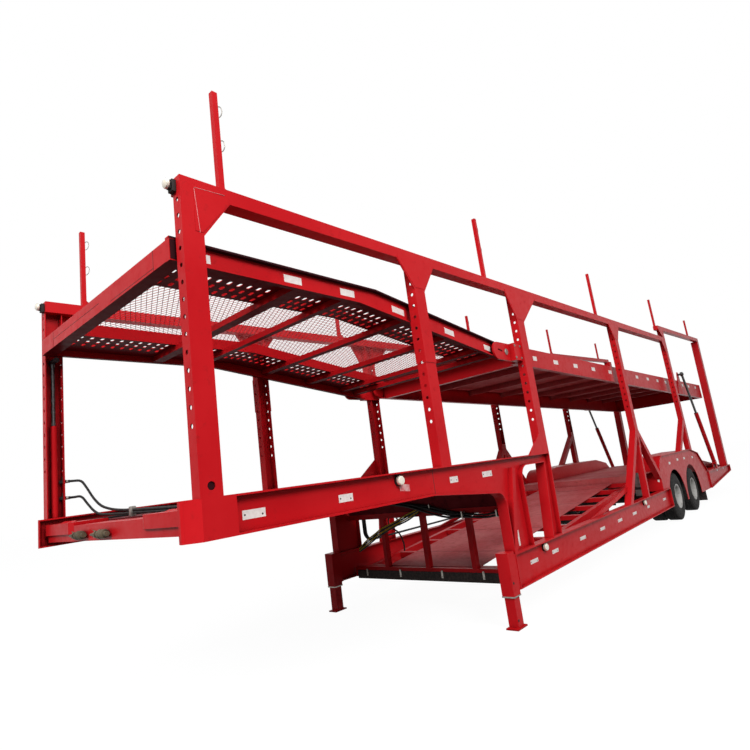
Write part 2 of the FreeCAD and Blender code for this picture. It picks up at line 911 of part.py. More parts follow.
def landing_leg():
    y = -side_outer + leg_centre_inset
    sleeve = box(leg_station - leg_sleeve / 2, leg_station + leg_sleeve / 2, y - leg_sleeve / 2,
                 y + leg_sleeve / 2, leg_sleeve_bottom, leg_sleeve_top)
    tube = box(leg_station - leg_tube / 2, leg_station + leg_tube / 2, y - leg_tube / 2, y + leg_tube / 2,
               0, leg_sleeve_top)
    foot = box(leg_station - foot_length / 2, leg_station + foot_length / 2, y - foot_width / 2,
               y + foot_width / 2, 0, foot_thick)
    bracket = box(leg_station, neck_front_station, y - leg_sleeve / 2, y + leg_sleeve / 2,
                  lower_beam_bottom, lower_beam_top)
    return fused([sleeve, tube, foot, bracket])


def post_gusset(station0, station1, front_reach=gusset_reach, rear_reach=gusset_reach, height=gusset_height):
    """Trapezoid plate under the rail at a post that stands from station0 to station1."""
    outer = -side_outer
    z = rail_bottom_at((station0 + station1) / 2) - height
    front = station0 - front_reach
    rear = station1 + rear_reach
    points = [(front, rail_bottom_at(front)), (rear, rail_bottom_at(rear)), (station1, z), (station0, z)]
    return side_plate(points, outer, outer + gusset_thick)


def upright(station, length, bottom, width):
    """Post from bottom up to the sloping underside of the rail."""
    outer = -side_outer
    end = station + length
    return side_plate([(station, bottom), (end, bottom), (end, rail_bottom_at(end)),
                       (station, rail_bottom_at(station))], outer, outer + width)


def post_void(station, length, bottom, width):
    """Inside of a post's channel, open towards the trailer's middle."""
    outer = -side_outer
    top = rail_bottom_at(station) + overrun
    return box(station + post_wall, station + length - post_wall, outer + post_wall,
               outer + width + collar_wall + overrun, bottom, top)


def post_holes(station, length, bottom, spaced=1):
    """Row of round holes through a post's front and rear walls."""
    y = -side_outer + post_hole_inset
    z = bottom + post_hole_first
    holes = []
    while z < rail_bottom_at(station) - post_hole_last:
        start = V(at(station - overrun), y, z)
        holes.append(Part.makeCylinder(post_hole_radius, length + overrun * 2, start, V(1, 0, 0)))
        z += post_hole_pitch * spaced
    return holes


def front_post():
    start = front_post_station
    length = front_post_length
    post = upright(start, length, gooseneck_top, front_post_width)
    gusset = post_gusset(start, start + length, 0)
    eye = cross_pin(start + length / 2, gooseneck_top + lash_hole_height, lash_hole_radius,
                    -side_outer - overrun, -side_outer + post_wall + overrun)
    cuts = [post_void(start, length, gooseneck_top - overrun, front_post_width), eye]
    return fused([post.cut(cuts + post_holes(start, length, gooseneck_top)), gusset])


def second_post():
    start = second_post_station
    end = start + post_length
    post = upright(start, post_length, gooseneck_top, post_width)
    collar = box(start - collar_wall, end + collar_wall, -half_width, -side_outer + post_width + collar_wall,
                 collar_bottom, collar_bottom + collar_height)
    void = post_void(start, post_length, gooseneck_top - overrun, post_width)
    hollow = fused([post, collar]).cut([void] + post_holes(start, post_length, gooseneck_top))
    return fused([hollow, post_gusset(start, end)])


def hinge_bracket():
    """Round-nosed plate with a keyhole inside the third post, and the pins both decks turn on."""
    y0 = -front_deck_outer - fit_gap - bracket_thick
    y1 = y0 + bracket_thick
    half = bracket_height / 2
    low = hinge_height - half
    high = hinge_height + half
    tongue = box(nose_station, third_post_end, y0, y1, low, high)
    nose = cross_pin(nose_station, hinge_height, half, y0, y1)
    block = box(third_post_station - hinge_block_length, third_post_station, y0 - hinge_block_proud, y0,
                low, high)
    keyhole = strut((nose_station, hinge_height + keyhole_width),
                    (nose_station + keyhole_length, hinge_height), keyhole_width, y0 - overrun, y1 + overrun)
    front_pin = cross_pin(hinge_station, hinge_height, hinge_pin_radius, y1, -front_web)
    rear_pin = cross_pin(rear_hinge_station, rear_hinge_height, hinge_pin_radius, y1,
                         ear_width - rear_deck_outer)
    return [fused([tongue, nose, block]).cut(keyhole), front_pin, rear_pin]


def third_post():
    start = third_post_station
    length = third_post_length
    post = upright(start, length, gooseneck_top, post_width)
    post = post.cut([post_void(start, length, gooseneck_top - overrun, post_width)]
                    + post_holes(start, length, gooseneck_top))
    gusset = post_gusset(start, third_post_end, gusset_reach, third_gusset_reach, third_gusset_height)
    return fused([post, gusset] + hinge_bracket())


def fourth_post():
    start = fourth_post_station
    end = start + post_length
    middle = start + post_length / 2
    y0 = -side_outer
    y1 = y0 + post_width
    post = upright(start, post_length, splay_height - splay_strut / 2, post_width)
    void = post_void(start, post_length, splay_height + splay_strut, post_width)
    post = post.cut([void] + post_holes(start, post_length, splay_height))
    low = lower_beam_top
    front_foot = middle - front_splay_reach
    legs = [strut((middle, splay_height), (front_foot, low - overrun), splay_strut, y0, y1),
            strut((middle, splay_height), (middle + rear_splay_reach + splay_strut, rear_splay_foot),
                  splay_strut, y0, y1),
            strut((middle - mid_splay_strut / 2, splay_height - mid_splay_drop + overrun),
                  (middle - mid_splay_reach, low - overrun), mid_splay_strut, y0, y1),
            strut((middle, splay_height), (middle, splay_height - mid_splay_drop), mid_splay_strut, y0, y1)]
    share = (stay_head_height - low) / (splay_height - low)
    head = front_foot + front_splay_reach * share
    foot = start - stay_reach
    stay = strut((foot, low - overrun / 2), (head, stay_head_height), stay_strut, y1 - stay_strut / 2, y1)
    trim = box(foot - overrun * 4, arch_front_station, y0 - overrun, y1 + overrun, 0, low)
    arch = thick(arch_face(), y0 - overrun, y1 + overrun)
    return fused([post, post_gusset(start, end), stay] + legs).cut([trim, arch])


def fifth_post():
    start = fifth_post_station
    end = start + post_length
    y0 = -side_outer
    y1 = y0 + post_width
    middle = start + post_length / 2
    lower = upright(start, post_length, arch_top - overrun, post_width)
    lower = lower.cut([post_void(start, post_length, fifth_splay_height + splay_strut, post_width)]
                      + post_holes(start, post_length, fifth_splay_height))
    top = rear_rail_top_at(end) - rear_rail_depth
    upper = side_plate([(start, rail_top_at(end)), (end, rail_top_at(end)), (end, top),
                        (start, rear_rail_top_at(start) - rear_rail_depth)], y0, y1)
    head_start = start - rear_rail_overhang
    web = side_plate([(start, rail_top_at(end)), (start, rear_rail_top_at(start) - rear_rail_depth),
                      (head_start, rear_rail_top_at(head_start) - rear_rail_depth)], y0, y0 + gusset_thick)
    leg = strut((middle, fifth_splay_height), (middle - fifth_splay_reach, arch_top - overrun), splay_strut,
                y0, y1)
    arch = thick(arch_face(), y0 - overrun, y1 + overrun)
    gusset = post_gusset(start, end).common(box(start - gusset_reach, end, y0, y1, 0, rail_top_at(end)))
    return fused([lower, gusset, leg]).cut(arch), fused([upper, web])


def rear_post():
    bottom0 = rear_post_station
    bottom1 = bottom0 + rear_post_length
    y0 = -side_outer
    y1 = y0 + rear_post_width
    top1 = rear_post_top_end()
    top0 = top1 - rear_post_length
    z1 = rear_rail_top_at(top1) - rear_rail_depth
    z0 = rear_rail_top_at(top0) - rear_rail_depth
    return side_plate([(bottom0, tail_top_at(bottom0)), (bottom1, tail_top_at(bottom1)), (top1, z1),
                       (top0, z0)], y0, y1)


def top_rail():
    y0 = -side_outer
    y1 = y0 + flange_width
    s0 = front_post_station
    s1 = rail_end_station
    return side_plate([(s0, rail_bottom_at(s0)), (s1, rail_bottom_at(s1)), (s1, rail_top_at(s1)),
                       (s0, rail_top_at(s0))], y0, y1)


def rear_rail():
    y0 = -side_outer
    y1 = y0 + post_width
    s0 = fifth_post_station - rear_rail_overhang
    s1 = rear_post_top_end()
    return side_plate([(s0, rear_rail_top_at(s0) - rear_rail_depth), (s1, rear_rail_top_at(s1) - rear_rail_depth),
                       (s1, rear_rail_top_at(s1)), (s0, rear_rail_top_at(s0))], y0, y1)


def stake(station, top_at, height):
    """Square stake on a rail with a small triangular plate behind its foot."""
    y1 = -side_outer + post_width
    y0 = y1 - stake_side
    middle = (y0 + y1) / 2
    z = top_at(station)
    rear = station + stake_side
    tip = rear + stake_gusset_length
    bar = side_plate([(station, z), (rear, top_at(rear)), (rear, z + height), (station, z + height)], y0, y1)
    plate = side_plate([(rear, top_at(rear)), (tip, top_at(tip)), (rear, top_at(rear) + stake_gusset_height)],
                       middle - stake_gusset_thick / 2, middle + stake_gusset_thick / 2)
    return fused([bar, plate])


def stakes():
    pieces = []
    for share in stake_shares:
        station = front_post_station + (rail_end_station - front_post_station) * share
        pieces.append(stake(station, rail_top_at, stake_height))
    start = fifth_post_station - rear_rail_overhang
    for share, height_share in rear_stake_shares:
        station = start + (rear_post_top_end() - start) * share
        pieces.append(stake(station, rear_rail_top_at, stake_height * height_share))
    return pieces


def side_band(tops, depth, y0, y1):
    """Band of the given depth under a list of (station, z) top points."""
    lower = [(s, z - depth) for s, z in reversed(tops)]
    return side_plate(tops + lower, y0, y1)


def front_deck_line(start, end, height_at, bend):
    """(station, z) points of one of the front deck's bent lines."""
    stations = [start]
    if start < bend < end:
        stations.append(bend)
    stations.append(end)
    return [(s, height_at(s)) for s in stations]


def front_deck_tops(start, end, below=0.0):
    line = front_deck_line(start, end, front_deck_top_at, front_top_bend_station)
    return [(s, z - below) for s, z in line]


def front_deck_side(side):
    """Channel with its flanges outwards, and the ear that turns on the hinge pin."""
    y0 = side * front_web
    y1 = side * (front_web + deck_web)
    flange_out = side * front_deck_outer
    top = front_deck_tops(front_deck_start, hinge_station)
    low = front_deck_line(front_deck_start, hinge_station, front_deck_low_at, front_low_bend_station)
    ear = cross_pin(hinge_station, hinge_height, ear_radius, y0, side * (front_web + ear_width))
    foot = [(s, z + deck_flange_thick) for s, z in low]
    return [side_plate(top + low[::-1], y0, y1), side_band(top, deck_flange_thick, y0, flange_out),
            side_band(foot, deck_flange_thick, y0, flange_out), ear]


def front_deck_frame():
    pieces = front_deck_side(-1) + front_deck_side(1)
    start = front_deck_start
    top = front_deck_top - front_deck_beam_drop
    pieces.append(box(start, start + front_deck_beam_length, -front_deck_outer, front_deck_outer,
                      top - front_deck_beam_height, top))
    under = track_below_top + track_thick
    for station in front_members():
        line = front_deck_tops(station, station + front_member_width, under)
        pieces.append(side_band(line, front_member_depth, -front_web, front_web))
    bore = cross_pin(hinge_station, hinge_height, hinge_pin_radius + pin_gap, -half_width, half_width)
    return fused(pieces).cut(bore)


def lift_station():
    return front_post_station + front_post_length / 2


def front_track_line():
    start = front_deck_start + front_deck_beam_length
    return front_deck_tops(start, hinge_station - track_end_gap, track_below_top)


def front_track(side):
    """Slotted wheel track of the front deck with the wall that carries the mesh."""
    line = front_track_line()
    y0 = side * track_inner
    sheet = side_band(line, track_thick, y0, side * front_web).cut(track_slots(side))
    top = [(s, z + track_wall) for s, z in line]
    return fused([sheet, side_band(top, track_wall + track_thick, y0, y0 + side * track_thick)])


def slot(station, y):
    """Round-ended upright cutter for one slot across a track."""
    half = (track_slot_length - track_slot_width) / 2
    r = track_slot_width / 2
    z = rear_deck_rear_low
    x = at(station)
    edges = [Part.makeLine(V(x - r, y - half, z), V(x - r, y + half, z)),
             Part.Arc(V(x - r, y + half, z), V(x, y + half + r, z), V(x + r, y + half, z)).toShape(),
             Part.makeLine(V(x + r, y + half, z), V(x + r, y - half, z)),
             Part.Arc(V(x + r, y - half, z), V(x, y - half - r, z), V(x - r, y - half, z)).toShape()]
    return Part.Face(Part.Wire(edges)).extrude(V(0, 0, front_deck_top - z))


def track_slots(side):
    """Slots in rows between the members under the track."""
    cutters = []
    edges = sorted(front_members())
    starts = [front_deck_start + front_deck_beam_length] + [e + front_member_width for e in edges]
    for start, end in zip(starts, edges):
        first = start + track_slot_margin
        last = end - track_slot_margin
        if last > first:
            for station in spread(first, last, track_slot_pitch):
                for row in range(track_slot_row_count):
                    cutters.append(slot(station, side * (track_slot_first + track_slot_row_pitch * row)))
    return cutters


def even_openings(start, end, count):
    """Clear openings between bars of one width, from start to end."""
    step = (end - start - mesh_bar) / count
    return [(start + step * i + mesh_bar, start + step * (i + 1)) for i in range(count)]


def front_mesh():
    """Sheet between the tracks with a plain grid of openings."""
    line = [(s, z + track_wall) for s, z in front_track_line()]
    cuts = [box(s0, s1, y0, y1, front_deck_low, front_deck_top + overrun)
            for s0, s1 in even_openings(line[0][0], line[-1][0], mesh_along_count)
            for y0, y1 in even_openings(-track_inner, track_inner, mesh_across_count)]
    return side_band(line, track_thick, -track_inner, track_inner).cut(cuts)


def rear_deck_line(start, end, below=0.0):
    return [(s, rear_deck_top_at(s) - below) for s in (start, end)]


def rear_deck_side(side):
    """Channel that deepens to the rear, with its ear on the hinge pin and the cylinder's bracket."""
    start = rear_hinge_station
    end = rear_deck_end_station
    out = side * rear_deck_outer
    inner = side * (rear_deck_outer - rear_flange_width)
    tops = rear_deck_line(start, end)
    lows = [(s, rear_deck_low_at(s)) for s in (start, end)]
    foot = [(s, z + deck_flange_thick) for s, z in lows]
    ear = cross_pin(start, rear_hinge_height, ear_radius, out, out - side * ear_width)
    return [side_plate(tops + lows[::-1], out, out - side * deck_web),
            side_band(tops, deck_flange_thick, out, inner),
            side_band(foot, deck_flange_thick, out, inner), ear, head_plate(side)]


def rear_deck_frame():
    pieces = rear_deck_side(-1) + rear_deck_side(1)
    reach = rear_deck_outer - deck_web
    below = deck_flange_thick + rear_plate_thick
    for station in (rear_hinge_station + ear_radius, rear_deck_end_station - rear_member_width):
        rear = station + rear_member_width
        tops = rear_deck_line(station, rear, below)
        lows = [(s, rear_deck_low_at(s)) for s in (rear, station)]
        pieces.append(side_plate(tops + lows, -reach, reach))
    return fused(pieces).cut(cross_pin(rear_hinge_station, rear_hinge_height, hinge_pin_radius + pin_gap,
                                       -half_width, half_width))


def head_plate(side):
    """Peaked bracket on the deck's side that takes the lift cylinder's head."""
    station = cylinder_head_station
    base = rear_deck_low_at(station)
    peak = cylinder_head_height() + head_plate_rise
    y0 = side * rear_deck_outer
    points = [(station - head_plate_reach, base), (station + head_plate_reach / 2, base),
              (station + lug_radius, peak), (station - lug_radius, peak)]
    return side_plate(points, y0, y0 + side * head_plate_thick)


def rear_deck_plate():
    """Deck plate under the top flanges, with its crossmembers and a row of slots on each side."""
    reach = rear_deck_outer - deck_web
    start = rear_hinge_station - rear_plate_reach
    end = rear_deck_end_station
    plate = side_band(rear_deck_line(start, end, deck_flange_thick), rear_plate_thick, -reach, reach)
    first = rear_hinge_station + ear_radius + rear_member_width
    last = end - rear_member_width
    slots = [slot(station, side * rear_slot_row) for side in (-1, 1)
             for station in spread(first + rear_slot_pitch, last - rear_slot_pitch, rear_slot_pitch)]
    pieces = [plate.cut(slots)]
    under = deck_flange_thick + rear_plate_thick
    for station in spread(first, last, rear_member_pitch)[1:-1]:
        line = rear_deck_line(station, station + rear_member_width, under)
        pieces.append(side_band(line, rear_member_depth, -reach, reach))
    return fused(pieces)


def front_lift_barrel(side):
    y = side * (side_outer - front_post_width / 2)
    tube = Part.makeCylinder(front_barrel_radius, front_barrel_length, V(at(lift_station()), y, gooseneck_top))
    bore = Part.makeCylinder(front_rod_radius + pin_gap, front_barrel_length,
                             V(at(lift_station()), y, gooseneck_top + front_barrel_floor))
    return tube.cut(bore)


def front_lift_rod(side):
    """Rod with the cross bar that carries the front deck's side beam."""
    y = side * (side_outer - front_post_width / 2)
    foot = gooseneck_top + front_barrel_length - front_rod_overlap
    top = gooseneck_top + lift_reach
    rod = Part.makeCylinder(front_rod_radius, top - foot, V(at(lift_station()), y, foot))
    bar = cross_pin(lift_station(), top, lift_bar_radius, side * lift_bar_inner, y + side * front_barrel_radius)
    return fused([rod, bar])


def cylinder_axis():
    foot = V(at(cylinder_foot_station), 0, cylinder_foot_height)
    head = V(at(cylinder_head_station), 0, cylinder_head_height())
    return foot, head


def rear_barrel(side):
    foot, head = cylinder_axis()
    along = head - foot
    along.normalize()
    y = V(0, side * cylinder_offset, 0)
    tube = rod_between(foot + along * neck_length + y, foot + along * barrel_length + y, barrel_radius)
    neck = rod_between(foot + along * eye_radius / 2 + y, foot + along * (neck_length + eye_radius) + y,
                       neck_radius)
    half = eye_width / 2
    eye = Part.makeCylinder(eye_radius, eye_width, foot + y - V(0, half, 0), V(0, 1, 0))
    bore = Part.makeCylinder(eye_pin_radius + pin_gap, side_outer, foot + y - V(0, side_outer / 2, 0),
                             V(0, 1, 0))
    inside = rod_between(foot + along * (neck_length + eye_radius) + y, head + y, rod_radius + pin_gap)
    return fused([tube, neck, eye]).cut([bore, inside])


def rear_rod(side):
    foot, head = cylinder_axis()
    along = head - foot
    along.normalize()
    y = V(0, side * cylinder_offset, 0)
    rod = rod_between(foot + along * (barrel_length - barrel_radius * 4) + y,
                      head - along * eye_radius / 2 + y, rod_radius)
    half = eye_width / 2
    eye = Part.makeCylinder(eye_radius, eye_width, head + y - V(0, half, 0), V(0, 1, 0))
    inner = side * (rear_deck_outer + head_plate_thick + head_gap)
    pin = cross_pin(cylinder_head_station, cylinder_head_height(), eye_pin_radius, inner,
                    side * (cylinder_offset + half + lug_thick))
    return fused([rod, eye, pin])


def cylinder_lugs():
    """Two ears on each tail beam with the pin of the lift cylinder's foot."""
    pieces = []
    half = eye_width / 2
    station = cylinder_foot_station
    z = cylinder_foot_height
    for side in (-1, 1):
        for edge in (-1, 1):
            y0 = side * cylinder_offset + edge * (half + pin_gap)
            y1 = y0 + edge * lug_thick
            base = tail_top_at(station + lug_radius)
            ear = box(station - lug_radius, station + lug_radius, y0, y1, base - flange_thick / 2, z)
            pieces.append(ear.fuse(cross_pin(station, z, lug_radius, y0, y1)))
        reach = half + pin_gap + lug_thick
        pieces.append(cross_pin(station, z, eye_pin_radius, side * cylinder_offset - reach,
                                side * cylinder_offset + reach))
    return pieces


def marker_lamps():
    pieces = []
    for side in (-1, 1):
        y = side * (side_outer - front_post_width / 2)
        z = rail_front_top - rail_depth / 2
        tip = at(front_post_station) - front_lamp_arm_length
        arm = Part.makeCylinder(lamp_arm_radius, front_lamp_arm_length, V(tip, y, z), V(1, 0, 0))
        lens = Part.makeCylinder(lamp_radius, lamp_length, V(tip - lamp_length, y, z), V(1, 0, 0))
        pieces.append(fused([arm, lens]))
        for station in (lamp_front_station, lamp_middle_station, lamp_rear_station):
            top = gooseneck_top if station < neck_front_station else lower_beam_top
            y0 = side * (side_outer - web_recess)
            z = top - lamp_drop
            arm = cross_pin(station, z, lamp_arm_radius, y0, y0 + side * lamp_arm_length)
            lens = cross_pin(station, z, lamp_radius, y0 + side * lamp_arm_length,
                             y0 + side * (lamp_arm_length + lamp_length))
            pieces.append(fused([arm, lens]))
    return pieces


def hose_path(points, bend):
    """Wire of straight runs joined by tangent arcs of one radius."""
    edges = []
    start = points[0]
    for before, corner, after in zip(points, points[1:], points[2:]):
        a = before - corner
        b = after - corner
        a.normalize()
        b.normalize()
        turn = math.pi - a.getAngle(b)
        reach = bend * math.tan(turn / 2)
        middle = a + b
        middle.normalize()
        centre = corner + middle * (bend / math.cos(turn / 2))
        first = corner + a * reach
        last = corner + b * reach
        edges.append(Part.LineSegment(start, first).toShape())
        edges.append(Part.Arc(first, centre - middle * bend, last).toShape())
        start = last
    edges.append(Part.LineSegment(start, points[-1]).toShape())
    return Part.Wire(edges)


def hose(points, bend, radius):
    wire = hose_path(points, bend)
    direction = points[1] - points[0]
    circle = Part.Wire([Part.makeCircle(radius, points[0], direction)])
    return wire.makePipeShell([circle], True, False)


def hydraulic_hoses():
    """Supply lines along the gooseneck floor, down its slope and through the well."""
    pieces = []
    z0 = floor_top + hose_radius
    z1 = lower_beam_top + hose_inset
    x0 = at(front_end_inset + crossbeam_inset + crossbeam_length)
    x1 = at(hose_knee_start)
    x2 = at(hose_knee_end)
    for i in range(hose_count):
        y = inner_face - hose_inset - i * (hose_radius * 2 + hose_gap)
        points = [V(x0, y, z0), V(x1, y, z0), V(x2, y, hose_knee_height), V(x2, y, z1),
                  V(at(arch_front_station), y, z1)]
        pieces.append(hose(points, hose_bend, hose_radius))
    return pieces


def build():
    os.makedirs("parts", exist_ok=True)
    save("goosenecks", both_sides(gooseneck_side()))
    save("front_crossbeam", [front_crossbeam()])
    save("air_couplings", air_couplings())
    save("gooseneck_floor", [gooseneck_floor()])
    save("neck_crossmember", [neck_crossmember()])
    save("lower_beams", both_sides(lower_beam()))
    save("well_deck_frame", [well_deck_frame()])
    save("well_deck_plate", [well_deck_plate()])
    save("axle_deck", [axle_deck()])
    save("tail_frame", [fused([tail_frame()] + cylinder_lugs())])
    save("wheel_arches", both_sides(wheel_arch()))
    save("mudflaps", both_sides(mudflap()) + [front_strip()])
    save("axles", [axle(s) for s in axle_stations])
    save("suspension", both_sides(suspension_side()))
    save("landing_legs", both_sides(landing_leg()))
    save("front_posts", both_sides(front_post()))
    save("second_posts", both_sides(second_post()))
    save("third_posts", both_sides(third_post()))
    save("fourth_posts", both_sides(fourth_post()))
    lower, upper = fifth_post()
    save("fifth_posts", both_sides(lower) + both_sides(upper))
    save("rear_posts", both_sides(rear_post()))
    save("top_rails", both_sides(top_rail()) + both_sides(rear_rail()))
    left_stakes = stakes()
    save("stakes", left_stakes + [mirrored(s) for s in left_stakes])
    save("marker_lamps", marker_lamps())
    save("hydraulic_hoses", hydraulic_hoses())
    save("front_deck_frame", [front_deck_frame()])
    save("front_deck_tracks", [front_track(-1), front_track(1)])
    save("front_deck_mesh", [front_mesh()])
    save("rear_deck_frame", [rear_deck_frame()])
    save("rear_deck_plate", [rear_deck_plate()])
    save("front_lift_barrels", [front_lift_barrel(-1), front_lift_barrel(1)])
    for name, side in (("left", -1), ("right", 1)):
        save("front_lift_rod_" + name, [front_lift_rod(side)])
        save("rear_barrel_" + name, [rear_barrel(side)])
        save("rear_rod_" + name, [rear_rod(side)])
        for place, station in zip(("front", "rear"), axle_stations):
            save("tyres_" + place + "_" + name, tyre_pair(station, side))
            save("rims_" + place + "_" + name, [wheel_rims(station, side)])


build()
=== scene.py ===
"""Looks for the car transporter semi-trailer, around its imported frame.

Metres, +X to the rear, +Z up, left side at -Y. Stations run rearwards from the front end.
"""
import bmesh
import bpy
import math
from mathutils import Matrix, Vector

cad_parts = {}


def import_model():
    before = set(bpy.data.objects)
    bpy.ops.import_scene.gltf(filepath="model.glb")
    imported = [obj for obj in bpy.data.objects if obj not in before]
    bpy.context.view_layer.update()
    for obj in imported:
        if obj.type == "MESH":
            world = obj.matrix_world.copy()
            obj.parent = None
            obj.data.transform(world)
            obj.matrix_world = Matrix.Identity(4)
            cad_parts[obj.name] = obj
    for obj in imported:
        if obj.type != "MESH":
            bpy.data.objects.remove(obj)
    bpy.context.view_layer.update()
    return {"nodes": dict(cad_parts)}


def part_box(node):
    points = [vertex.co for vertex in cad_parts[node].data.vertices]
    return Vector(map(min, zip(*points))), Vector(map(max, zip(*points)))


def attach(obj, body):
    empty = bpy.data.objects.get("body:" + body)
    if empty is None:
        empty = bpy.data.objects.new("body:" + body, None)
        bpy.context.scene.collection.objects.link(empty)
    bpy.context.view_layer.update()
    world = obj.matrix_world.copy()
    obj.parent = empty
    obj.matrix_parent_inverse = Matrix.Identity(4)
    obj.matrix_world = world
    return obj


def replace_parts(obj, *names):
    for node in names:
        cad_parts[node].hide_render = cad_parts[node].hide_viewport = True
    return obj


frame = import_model()
nodes = frame["nodes"]

LENGTH = 15.5
OUTER = 1.27           # outer faces of the posts and of the beams' flanges
WEB = OUTER - 0.050    # outer faces of the beams' webs
SIDES = ((-1, "left"), (1, "right"))


def at(station):
    return station - LENGTH / 2


def span(side, a, b):
    """The two y values of a box at one side, the smaller first."""
    return sorted((side * a, side * b))


# Materials

BLACK, WHITE = (0, 0, 0), (1, 1, 1)
MIX_FACTOR, MIX_A, MIX_B, MIX_RESULT = 0, 6, 7, 2    # sockets of a mix node set to RGBA
# Painted shade in hollows darkens the paint out to this reach.
HOLLOW_REACH = 0.14    # how near another face has to be to darken paint
PAINT_SHINE = 0.08
UNDERSIDE_SHINE = 0.008
RUBBER_SHINE = 0.12


def grey(level):
    return (level,) * 3


def new_material(name):
    mat = bpy.data.materials.new(name)
    mat.use_nodes = True
    tree = mat.node_tree
    return mat, tree, tree.nodes["Principled BSDF"]


def feed(tree, value, socket):
    """Sets a socket to a number or colour, or links another node's output to it."""
    if isinstance(value, (int, float)):
        socket.default_value = value
    elif isinstance(value, tuple):
        socket.default_value = (*value, 1)
    else:
        tree.links.new(value, socket)


def noise(tree, scale, detail, rough=0.6):
    coord = tree.nodes.new("ShaderNodeTexCoord")
    node = tree.nodes.new("ShaderNodeTexNoise")
    node.inputs["Scale"].default_value = scale
    node.inputs["Detail"].default_value = detail
    node.inputs["Roughness"].default_value = rough
    tree.links.new(coord.outputs["Object"], node.inputs["Vector"])
    return node.outputs["Fac"]


def ramp(tree, source, start, end):
    """Colour ramp between two (place, colour) stops."""
    node = tree.nodes.new("ShaderNodeValToRGB")
    for stop, (place, colour) in zip(node.color_ramp.elements, (start, end)):
        stop.position = place
        stop.color = (*colour, 1)
    tree.links.new(source, node.inputs["Fac"])
    return node.outputs["Color"]


def mix(tree, fac, a, b, blend="MIX"):
    node = tree.nodes.new("ShaderNodeMix")
    node.data_type = "RGBA"
    node.blend_type = blend
    for value, place in ((fac, MIX_FACTOR), (a, MIX_A), (b, MIX_B)):
        feed(tree, value, node.inputs[place])
    return node.outputs[MIX_RESULT]


def maths(tree, operation, a, b):
    node = tree.nodes.new("ShaderNodeMath")
    node.operation = operation
    feed(tree, a, node.inputs[0])
    feed(tree, b, node.inputs[1])
    return node.outputs[0]


def bump(tree, bsdf, height, strength, distance):
    node = tree.nodes.new("ShaderNodeBump")
    node.inputs["Strength"].default_value = strength
    node.inputs["Distance"].default_value = distance
    tree.links.new(height, node.inputs["Height"])
    tree.links.new(node.outputs["Normal"], bsdf.inputs["Normal"])


def facing_down(tree):
    """1 where a face looks straight down, -1 where it looks up."""
    geometry = tree.nodes.new("ShaderNodeNewGeometry")
    split = tree.nodes.new("ShaderNodeSeparateXYZ")
    tree.links.new(geometry.outputs["Normal"], split.inputs[0])
    return maths(tree, "MULTIPLY", split.outputs["Z"], -1.0)


def painted_hollow_shade(tree):
    # Painted shade: the colour darkens where other faces are near, in hollows and corners.
    node = tree.nodes.new("ShaderNodeAmbientOcclusion")
    node.samples = 6
    node.inputs["Distance"].default_value = HOLLOW_REACH
    return ramp(tree, node.outputs["AO"], (0.20, grey(0.10)), (0.70, WHITE))


def worn_paint(name, colour, faded, dirt, rough=(0.28, 0.5), dirt_amount=0.5, under=None):
    """Sprayed paint: faded patches, dirt, chips, painted shade in hollows and, if asked, painted
    shade on undersides.
    """
    mat, tree, bsdf = new_material(name)
    fine = noise(tree, 14, 6, 0.7)
    tone = ramp(tree, noise(tree, 1.3, 5), (0.35, colour), (0.68, faded))
    spots = ramp(tree, fine, (0.60 - 0.12 * dirt_amount, BLACK), (0.78, WHITE))
    tone = mix(tree, spots, tone, dirt)
    chips = ramp(tree, noise(tree, 9, 8, 0.75), (0.70, BLACK), (0.74, WHITE))
    scrapes = ramp(tree, noise(tree, 2.3, 3), (0.52, BLACK), (0.66, WHITE))
    rubbed = mix(tree, 1.0, chips, scrapes, "MULTIPLY")
    tone = mix(tree, rubbed, tone, tuple(c * 0.35 + 0.01 for c in dirt))
    # Painted shade in hollows, multiplied into the paint's colour.
    tone = mix(tree, 0.85, tone, painted_hollow_shade(tree), "MULTIPLY")
    shine = PAINT_SHINE
    # Painted shade on faces that look down: their colour darkens towards the under colour and their
    # shine drops.
    if under:
        down = facing_down(tree)
        tone = mix(tree, ramp(tree, down, (0.5, BLACK), (0.85, grey(0.85))), tone, under)
        shine = ramp(tree, down, (0.3, grey(PAINT_SHINE)), (0.8, grey(UNDERSIDE_SHINE)))
    feed(tree, tone, bsdf.inputs["Base Color"])
    feed(tree, shine, bsdf.inputs["Specular IOR Level"])
    roughness = ramp(tree, fine, (0.3, grey(rough[0])), (0.75, grey(rough[1])))
    feed(tree, roughness, bsdf.inputs["Roughness"])
    bump(tree, bsdf, noise(tree, 160, 2), 0.06, 0.001)
    return mat


def mottled(name, start, end, scale, detail, grain, inputs, grit=None):
    """Two tones in patches, with the shader's other inputs, and grit as (scale, detail, ...)."""
    mat, tree, bsdf = new_material(name)
    feed(tree, ramp(tree, noise(tree, scale, detail, grain), start, end), bsdf.inputs["Base Color"])
    for key, value in inputs.items():
        bsdf.inputs[key].default_value = value
    if grit:
        bump(tree, bsdf, noise(tree, *grit[:2]), *grit[2:])
    return mat


def rubber(name, colour, dust, rough=0.75, scale=30):
    inputs = {"Roughness": rough, "Specular IOR Level": RUBBER_SHINE}
    return mottled(name, (0.4, colour), (0.72, dust), scale, 6, 0.7, inputs, (220, 3, 0.2, 0.001))


def bare_metal(name, colour, dark, rough):
    inputs = {"Roughness": rough, "Metallic": 0.9}
    return mottled(name, (0.3, dark), (0.65, colour), 60, 5, 0.7, inputs, (300, 2, 0.06, 0.0005))


def tinted_lens(name, colour):
    inputs = {"Roughness": 0.15, "Coat Weight": 0.7}
    return mottled(name, (0.3, colour), (0.7, tuple(c * 0.7 for c in colour)), 60, 3, 0.6, inputs)


